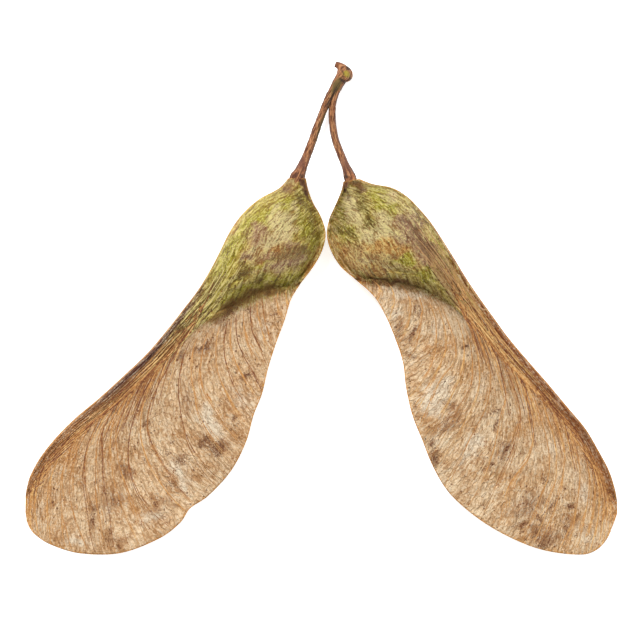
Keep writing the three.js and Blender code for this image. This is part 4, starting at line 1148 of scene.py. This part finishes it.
def ragged_patch(tree, place, patch, per_mm, ragged, strength):
    """Where one colour of patch lies, and how strongly."""
    scaled = stretch(tree, place, (per_mm, per_mm, per_mm))
    mask = effect(tree, RAGGED, place=scaled, mask=attribute(tree, patch), ragged=ragged)
    return times(tree, mask, strength)


def new_material(name, roughness):
    """A material's node tree, its shader, and places on the object in millimetres."""
    material = bpy.data.materials.new(name)
    material.use_nodes = True
    tree = material.node_tree
    shader = tree.nodes["Principled BSDF"]
    shader.inputs["Roughness"].default_value = roughness
    shader.inputs["Specular IOR Level"].default_value = 0.3
    coordinates = add(tree, "ShaderNodeTexCoord").outputs["Object"]
    return material, tree, shader, stretch(tree, coordinates, (1000, 1000, 1000))


def dress(tree, shader, colour, height, depth_mm):
    """The shader's colour, and its fine relief from a height."""
    relief = add(tree, "ShaderNodeBump", None, {
        "Strength": 1.0, "Distance": depth_mm * MM, "Height": height,
    })
    tree.links.new(colour, shader.inputs["Base Color"])
    tree.links.new(relief.outputs[0], shader.inputs["Normal"])


def samara_patterns(tree, place):
    """The fibres, nets, grains and patches that a samara's colours are made of."""
    straight = add(tree, "ShaderNodeUVMap", {"uv_map": "Grain"}).outputs[0]
    grain = warped(tree, place, 1.1, (0.6, 0.6, 0.0), straight)
    made = {key: attribute(tree, key) for key in ("place", "core", "margin", "swollen")}
    for key, group, where, across, lengthways in (
        ("strand", STREAKS, straight, 4.4, 0.09), ("coarse", STREAKS, grain, 4.0, 0.7),
        ("fine", STREAKS, grain, 6.5, 1.2), ("pleat", STREAKS, grain, 0.9, 0.14),
        ("net", NET, grain, 2.3, 1.1), ("small_net", NET, grain, 5.0, 3.0),
    ):
        made[key] = effect(tree, group, place=where, across_per_mm=across, along_per_mm=lengthways)
    for key, per_mm, share in (("speck", 3.4, 0.13), ("dust", 5.5, 0.45), ("grains", 3.1, 0.8)):
        made[key] = effect(tree, SPECKS, place=place, per_mm=per_mm, share=share)
    made["cloud"] = noise(tree, place, 0.45, 4.0, 0.6)
    made["blotch"] = between(tree, noise(tree, place, 0.9, 5.0, 0.7), 0.42, 0.62)
    made["grit"] = between(tree, noise(tree, place, 4.6, 4.0, 0.75), 0.35, 0.65)
    for patch, per_mm, ragged, strength in (
        ("tan", 1.8, 0.7, 0.85), ("lime", 2.4, 0.8, 0.85), ("pale", 2.0, 0.7, 0.86),
        ("mauve", 2.6, 0.9, 0.9), ("gold", 2.2, 0.7, 0.85), ("olive", 3.0, 0.9, 0.8),
        ("umber", 2.5, 0.9, 0.75), ("purple", 4.0, 0.7, 0.9), ("dark", 8.0, 2.6, 1.0),
    ):
        made[patch] = ragged_patch(tree, place, patch, per_mm, ragged, strength)
    return SimpleNamespace(**made)


def wing_colour(tree, on, colours):
    """The papery wing with its stains, golden beside the thick edge."""
    golden = times(
        tree, maths(tree, "POWER", on.core, 0.22), between(tree, on.strand, 0.0, 1.0, 0.4, 1.0),
        between(tree, on.place, 7.0, 14.0, 0.12, 1.0),
    )
    return layers(tree, two_tone(tree, between(tree, on.cloud, 0.35, 0.65), *colours), (
        (on.pale, (254, 238, 210)),
        (times(tree, on.gold, 0.6), (222, 160, 92)),
        (times(tree, on.net, 0.3), (172, 122, 74)),
        (times(tree, on.small_net, 0.2), (172, 126, 80)),
        (times(tree, on.mauve, 0.75), (180, 130, 84)),
        (times(tree, on.mauve, between(tree, on.grit, 0.3, 0.85), 0.9), (116, 68, 36)),
        (times(tree, on.tan, 0.5), (200, 152, 100)),
        (golden, (222, 156, 88)),
    ))


def edge_colour(tree, on, colours, outer_colour, last):
    """The ribbed leading edge, its colours laid out along it."""
    edge = add(tree, "ShaderNodeValToRGB", None, {0: maths(tree, "DIVIDE", on.place, LAST_PLACE)})
    stops = edge.color_ramp.elements
    for i, (at, colour) in enumerate(colours):
        stop = stops[i] if i < 2 else stops.new(at)
        stop.position = at
        stop.color = tint(*colour)
    fading = between(tree, on.place, 9.5, 15.5, 1.0, 0.2)
    outer = times(
        tree, between(tree, on.margin, 0.4, 1.0, 0.95, 0.0), between(tree, on.place, 4.0, 7.5), last
    )
    return layers(tree, edge.outputs[0], (
        (outer, outer_colour),
        (times(tree, between(tree, on.strand, 0.1, 0.55, 0.9, 0.0), fading), (84, 46, 24)),
        (times(tree, between(tree, on.strand, 0.55, 0.95, 0.0, 0.75), fading), (234, 192, 130)),
    ))


def nut_colour(tree, on, colours):
    return layers(tree, two_tone(tree, between(tree, on.cloud, 0.3, 0.7), *colours), (
        # The pale patches on the nut are partly painted highlight
        (on.tan, (204, 162, 104)), (on.lime, (178, 170, 34)), (on.pale, (236, 216, 160)),
        (on.mauve, (190, 152, 118)), (on.gold, (212, 156, 82)), (on.olive, (116, 96, 22)),
    ))


def with_marks(tree, on, skin, over):
    """The skin with its fibres, darker in their furrows and paler on their crests partly as painted
    shade and highlight, its stains and specks, painted crease shade, and a golden rim painted as the
    glow of light through the thin edge. Over is the nut's share.
    """
    # Fibres darker in their furrows and paler on their crests: partly their own colour, partly painted
    # shade and painted highlight of the fine wrinkles
    fibre_tone_and_shading = either(tree, over, 0.55, 0.84)
    fibre = heap(tree, times(tree, on.fine, 0.32), (on.coarse, 0.35), (on.grit, 0.33))
    low = times(tree, between(tree, fibre, 0.55, 0.26), fibre_tone_and_shading)
    high = times(tree, between(tree, fibre, 0.49, 0.75), fibre_tone_and_shading)
    skin = paint(tree, low, skin, (0.4, 0.25, 0.11, 1), "MULTIPLY")
    light = two_tone(tree, over, (254, 236, 204), (238, 220, 142))
    skin = paint(tree, times(tree, high, 0.8), skin, light)
    # Umber patches, partly the nut's own brown and partly painted crease shade; then purple near the
    # stalk
    skin = layers(tree, skin, ((on.umber, (142, 100, 54)), (on.purple, (110, 70, 56))))
    # Dark patches: stains, and painted crease shade where they lie along the crease under the right
    # nut
    dark = times(
        tree, on.dark, between(tree, over, 0.0, 1.0, 1.0, 0.7),
        between(tree, on.grit, 0.1, 0.75, 0.5, 1.0),
    )
    skin = paint(tree, dark, skin, two_tone(tree, over, (112, 64, 34), (88, 54, 24)))
    # Specks gather on the mauve stains and on the dark patches, the painted crease shade among them
    speckled_patches = times(tree, on.mauve, between(tree, over, 0.0, 1.0, 0.8, 0.3))
    speckled_patches = maths(tree, "MAXIMUM", speckled_patches, on.dark)
    grainy = times(tree, speckled_patches, between(tree, over, 0.0, 1.0, 0.85, 0.3))
    # Golden rim along the outline: painted glow of light shining through the thin edge
    uneven = heap(tree, on.margin, (on.grit, 0.14))
    rim = times(
        tree, between(tree, uneven, 0.07, 0.27, 0.8, 0.0), between(tree, over, 0.0, 1.0, 1.0, 0.6)
    )
    return layers(tree, skin, (
        (times(tree, on.dust, speckled_patches), (84, 46, 26)),
        (times(tree, on.grains, grainy), (98, 54, 30)),
        (times(tree, on.dust, between(tree, on.blotch, 0.0, 1.0, 0.22, 1.0)), (144, 84, 44)),
        (times(tree, on.speck, 0.75), (104, 58, 30)),
        (rim, (224, 158, 78)),
    ))


def samara_material(name, edge_colours, outer_colour, to_tip, nut_colours, wing_colours, green_end):
    """Fibrous olive nut, ribbed leading edge and papery wing with its stains, painted shade in the
    creases, painted highlight on the nuts and their fibres, and a golden rim painted as the glow of
    light through the thin edge.
    """
    material, tree, shader, place = new_material(name, 0.62)
    on = samara_patterns(tree, place)
    last = between(tree, on.place, 10.0, 13.5, 1.0, to_tip)
    core = between(tree, heap(tree, on.core, (on.fine, 0.5)), 0.5, 1.05)
    band = edge_colour(tree, on, edge_colours, outer_colour, last)
    skin = paint(tree, core, wing_colour(tree, on, wing_colours), band)

    # The nut ends sharply over the wing and runs out in streaks along the edge
    sharp = between(tree, heap(tree, on.swollen, (on.fine, 0.1)), 0.96, 1.1, 1.0, 0.0)
    drawn = between(tree, heap(tree, on.swollen, (on.strand, 0.5)), 1.1, green_end, 1.0, 0.0)
    over = either(tree, core, sharp, drawn)
    skin = paint(tree, over, skin, nut_colour(tree, on, nut_colours))
    drawn_out = times(
        tree, over, between(tree, on.place, 2.6, 5.2), between(tree, on.swollen, 0.45, 0.95)
    )
    strip = times(
        tree, between(tree, on.margin, 0.3, 0.75, 0.85, 0.0), between(tree, on.place, 5.6, 7.6),
        between(tree, on.core, 0.3, 0.9), last,
    )
    skin = layers(tree, skin, (
        (times(tree, between(tree, on.strand, 0.4, 0.08, 0.0, 0.75), drawn_out), (84, 66, 22)),
        (times(tree, between(tree, on.strand, 0.62, 0.95, 0.0, 0.7), drawn_out), (222, 208, 132)),
        (strip, outer_colour),
    ))
    height = heap(
        tree, times(tree, on.net, 0.45), (on.fine, 0.5), (on.grit, 0.35),
        (times(tree, on.coarse, over), 1.3), (on.pleat, 1.2),
    )
    dress(tree, shader, with_marks(tree, on, skin, over), height, 0.12)
    rough = between(tree, on.fine, 0.0, 1.0, 0.5, 0.7)
    tree.links.new(rough, shader.inputs["Roughness"])
    return material


def vein_material(name, neck_colours):
    """Golden to red-brown veins, paler where they run out."""
    material, tree, shader, place = new_material(name, 0.6)
    mottled = maths(tree, "MULTIPLY_ADD", noise(tree, place, 3.5, 3.0, 0.7), 1.6, -0.8)
    tone = maths(tree, "ADD", attribute(tree, "tone"), mottled)
    colour = two_tone(tree, between(tree, tone, 0.0, 0.3), (224, 182, 120), (192, 136, 76))
    colour = layers(tree, colour, [(between(tree, tone, 0.3, 0.95), (112, 60, 34))])
    neck = two_tone(tree, between(tree, tone, 0.2, 0.8), *neck_colours)
    colour = paint(tree, attribute(tree, "straw"), colour, neck)
    dress(tree, shader, colour, noise(tree, place, 12.0), 0.02)
    return material


def stalk_material(name):
    """Red-brown skin, drawn out along the strands, with olive places and dark marks, painted highlight
    along the strands' tops, painted shade down their sides, and a painted shadow line where one strand
    passes behind the other.
    """
    material, tree, shader, place = new_material(name, 0.6)
    fibre = attribute(tree, "fibre", "Vector")
    streak = effect(tree, STREAKS, place=fibre, across_per_mm=9.0, along_per_mm=1.1)
    speck = effect(tree, SPECKS, place=place, per_mm=5.0, share=0.25)
    cloud = noise(tree, place, 1.1, 4.0, 0.65)
    flank_shading = attribute(tree, "flank_shading")
    skin = two_tone(tree, between(tree, cloud, 0.35, 0.65), (188, 118, 74), (136, 78, 46))
    skin = layers(tree, skin, (
        # Painted highlight along the top of each strand
        (between(tree, flank_shading, 0.55, 0.1, 0.0, 0.6), (214, 150, 98)),
        (between(tree, streak, 0.15, 0.65, 0.95, 0.0), (84, 46, 28)),
        (between(tree, streak, 0.5, 1.0, 0.0, 0.6), (224, 172, 122)),
        # Painted shade down the sides of each strand
        (between(tree, flank_shading, 0.6, 1.0, 0.0, 0.65), (76, 42, 28)),
        *((ragged_patch(tree, place, patch, 6.0, 0.9, 0.85), colour) for patch, colour in (
            ("olive", (106, 92, 44)), ("moss", (180, 160, 56)), ("purple", (122, 74, 56)),
            ("dark", (66, 42, 30)),
        )),
        (times(tree, speck, 0.6), (72, 46, 30)),
    ))
    height = maths(tree, "ADD", streak, noise(tree, place, 10.0, 3.0, 0.7))
    dress(tree, shader, skin, height, 0.08)
    return material


# The pieces
left_skin = samara_material(
    "left samara",
    edge_colours=[
        (0.0, (190, 166, 96)), (1.0, (224, 152, 84)), (0.3, (182, 160, 76)), (0.44, (196, 160, 98)),
        (0.55, (198, 148, 98)), (0.66, (208, 146, 88)), (0.8, (222, 152, 84)),
    ],
    outer_colour=(104, 62, 54), to_tip=0.15, nut_colours=((210, 192, 88), (180, 156, 56)),
    wing_colours=((248, 214, 170), (214, 166, 114)), green_end=2.1,
)
right_skin = samara_material(
    "right samara",
    edge_colours=[
        (0.0, (180, 156, 92)), (1.0, (220, 152, 84)), (0.32, (128, 92, 58)), (0.45, (144, 96, 58)),
        (0.58, (164, 104, 56)), (0.72, (180, 112, 56)), (0.86, (206, 134, 68)),
    ],
    outer_colour=(160, 96, 46), to_tip=0.6, nut_colours=((204, 182, 92), (170, 144, 56)),
    wing_colours=((252, 222, 180), (218, 172, 120)), green_end=1.6,
)
left_vein = vein_material("left vein", ((214, 196, 126), (98, 72, 32)))
right_vein = vein_material("right vein", ((184, 142, 92), (88, 52, 28)))
stalk_skin = stalk_material("stalk skin")

left = samara_mesh("nut_and_wing_left", LEFT)
left.data.materials.append(left_skin)
right = samara_mesh("nut_and_wing_right", RIGHT)
right.data.materials.append(right_skin)
tubes = vein_tube_tree()
left_veins = vein_mesh("veins_left", LEFT, left.data, 21, tubes, left_vein)
right_veins = vein_mesh("veins_right", RIGHT, right.data, 22, tubes, right_vein)
stalk = stalk_mesh("forked_stalk")
stalk.data.materials.append(stalk_skin)

for piece, node, slot in (
    (left, "samara_left", "samara"), (left_veins, None, "samara"),
    (right, "samara_right", "samara"), (right_veins, None, "samara"),
    (stalk, "stalk", "stalk"),
):
    if node:
        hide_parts(node)
    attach(piece, "root")

# The surface, the light and the camera
floor_mesh = bpy.data.meshes.new("surface")
floor_mesh.from_pydata(
    [(x * SURFACE_HALF, y * SURFACE_HALF, 0) for x, y in ((-1, -1), (1, -1), (1, 1), (-1, 1))],
    [], [(0, 1, 2, 3)],
)
floor = placed("surface", floor_mesh)
floor_material, _, floor_shader, _ = new_material("pale surface", 0.9)
floor_shader.inputs["Base Color"].default_value = (0.93, 0.93, 0.93, 1)
floor_shader.inputs["Emission Color"].default_value = (1, 1, 1, 1)
floor_shader.inputs["Emission Strength"].default_value = 0.6
floor_mesh.materials.append(floor_material)


def soft_light(name, place, size, watts):
    lamp = bpy.data.lights.new(name, "AREA")
    lamp.shape = "DISK"
    lamp.size = size
    lamp.energy = watts
    light = placed(name, lamp)
    light.location = place
    light.rotation_euler = (-Vector(place)).to_track_quat("-Z", "Y").to_euler()


soft_light("main light", place=(-0.13, 0.28, 0.42), size=0.2, watts=3.15)
soft_light("low light", place=(0.15, -0.15, 0.48), size=0.4, watts=0.8)
world = bpy.data.worlds.new("studio")
world.use_nodes = True
background = world.node_tree.nodes["Background"].inputs
background["Color"].default_value = (1, 1, 1, 1)
background["Strength"].default_value = 0.33
bpy.context.scene.world = world
bpy.context.scene.view_settings.view_transform = "Standard"

lens = bpy.data.cameras.new("camera")
lens.lens = LENS_MM
lens.clip_start = 0.01
camera = placed("camera", lens)
camera.location = CAMERA
bpy.context.scene.camera = camera
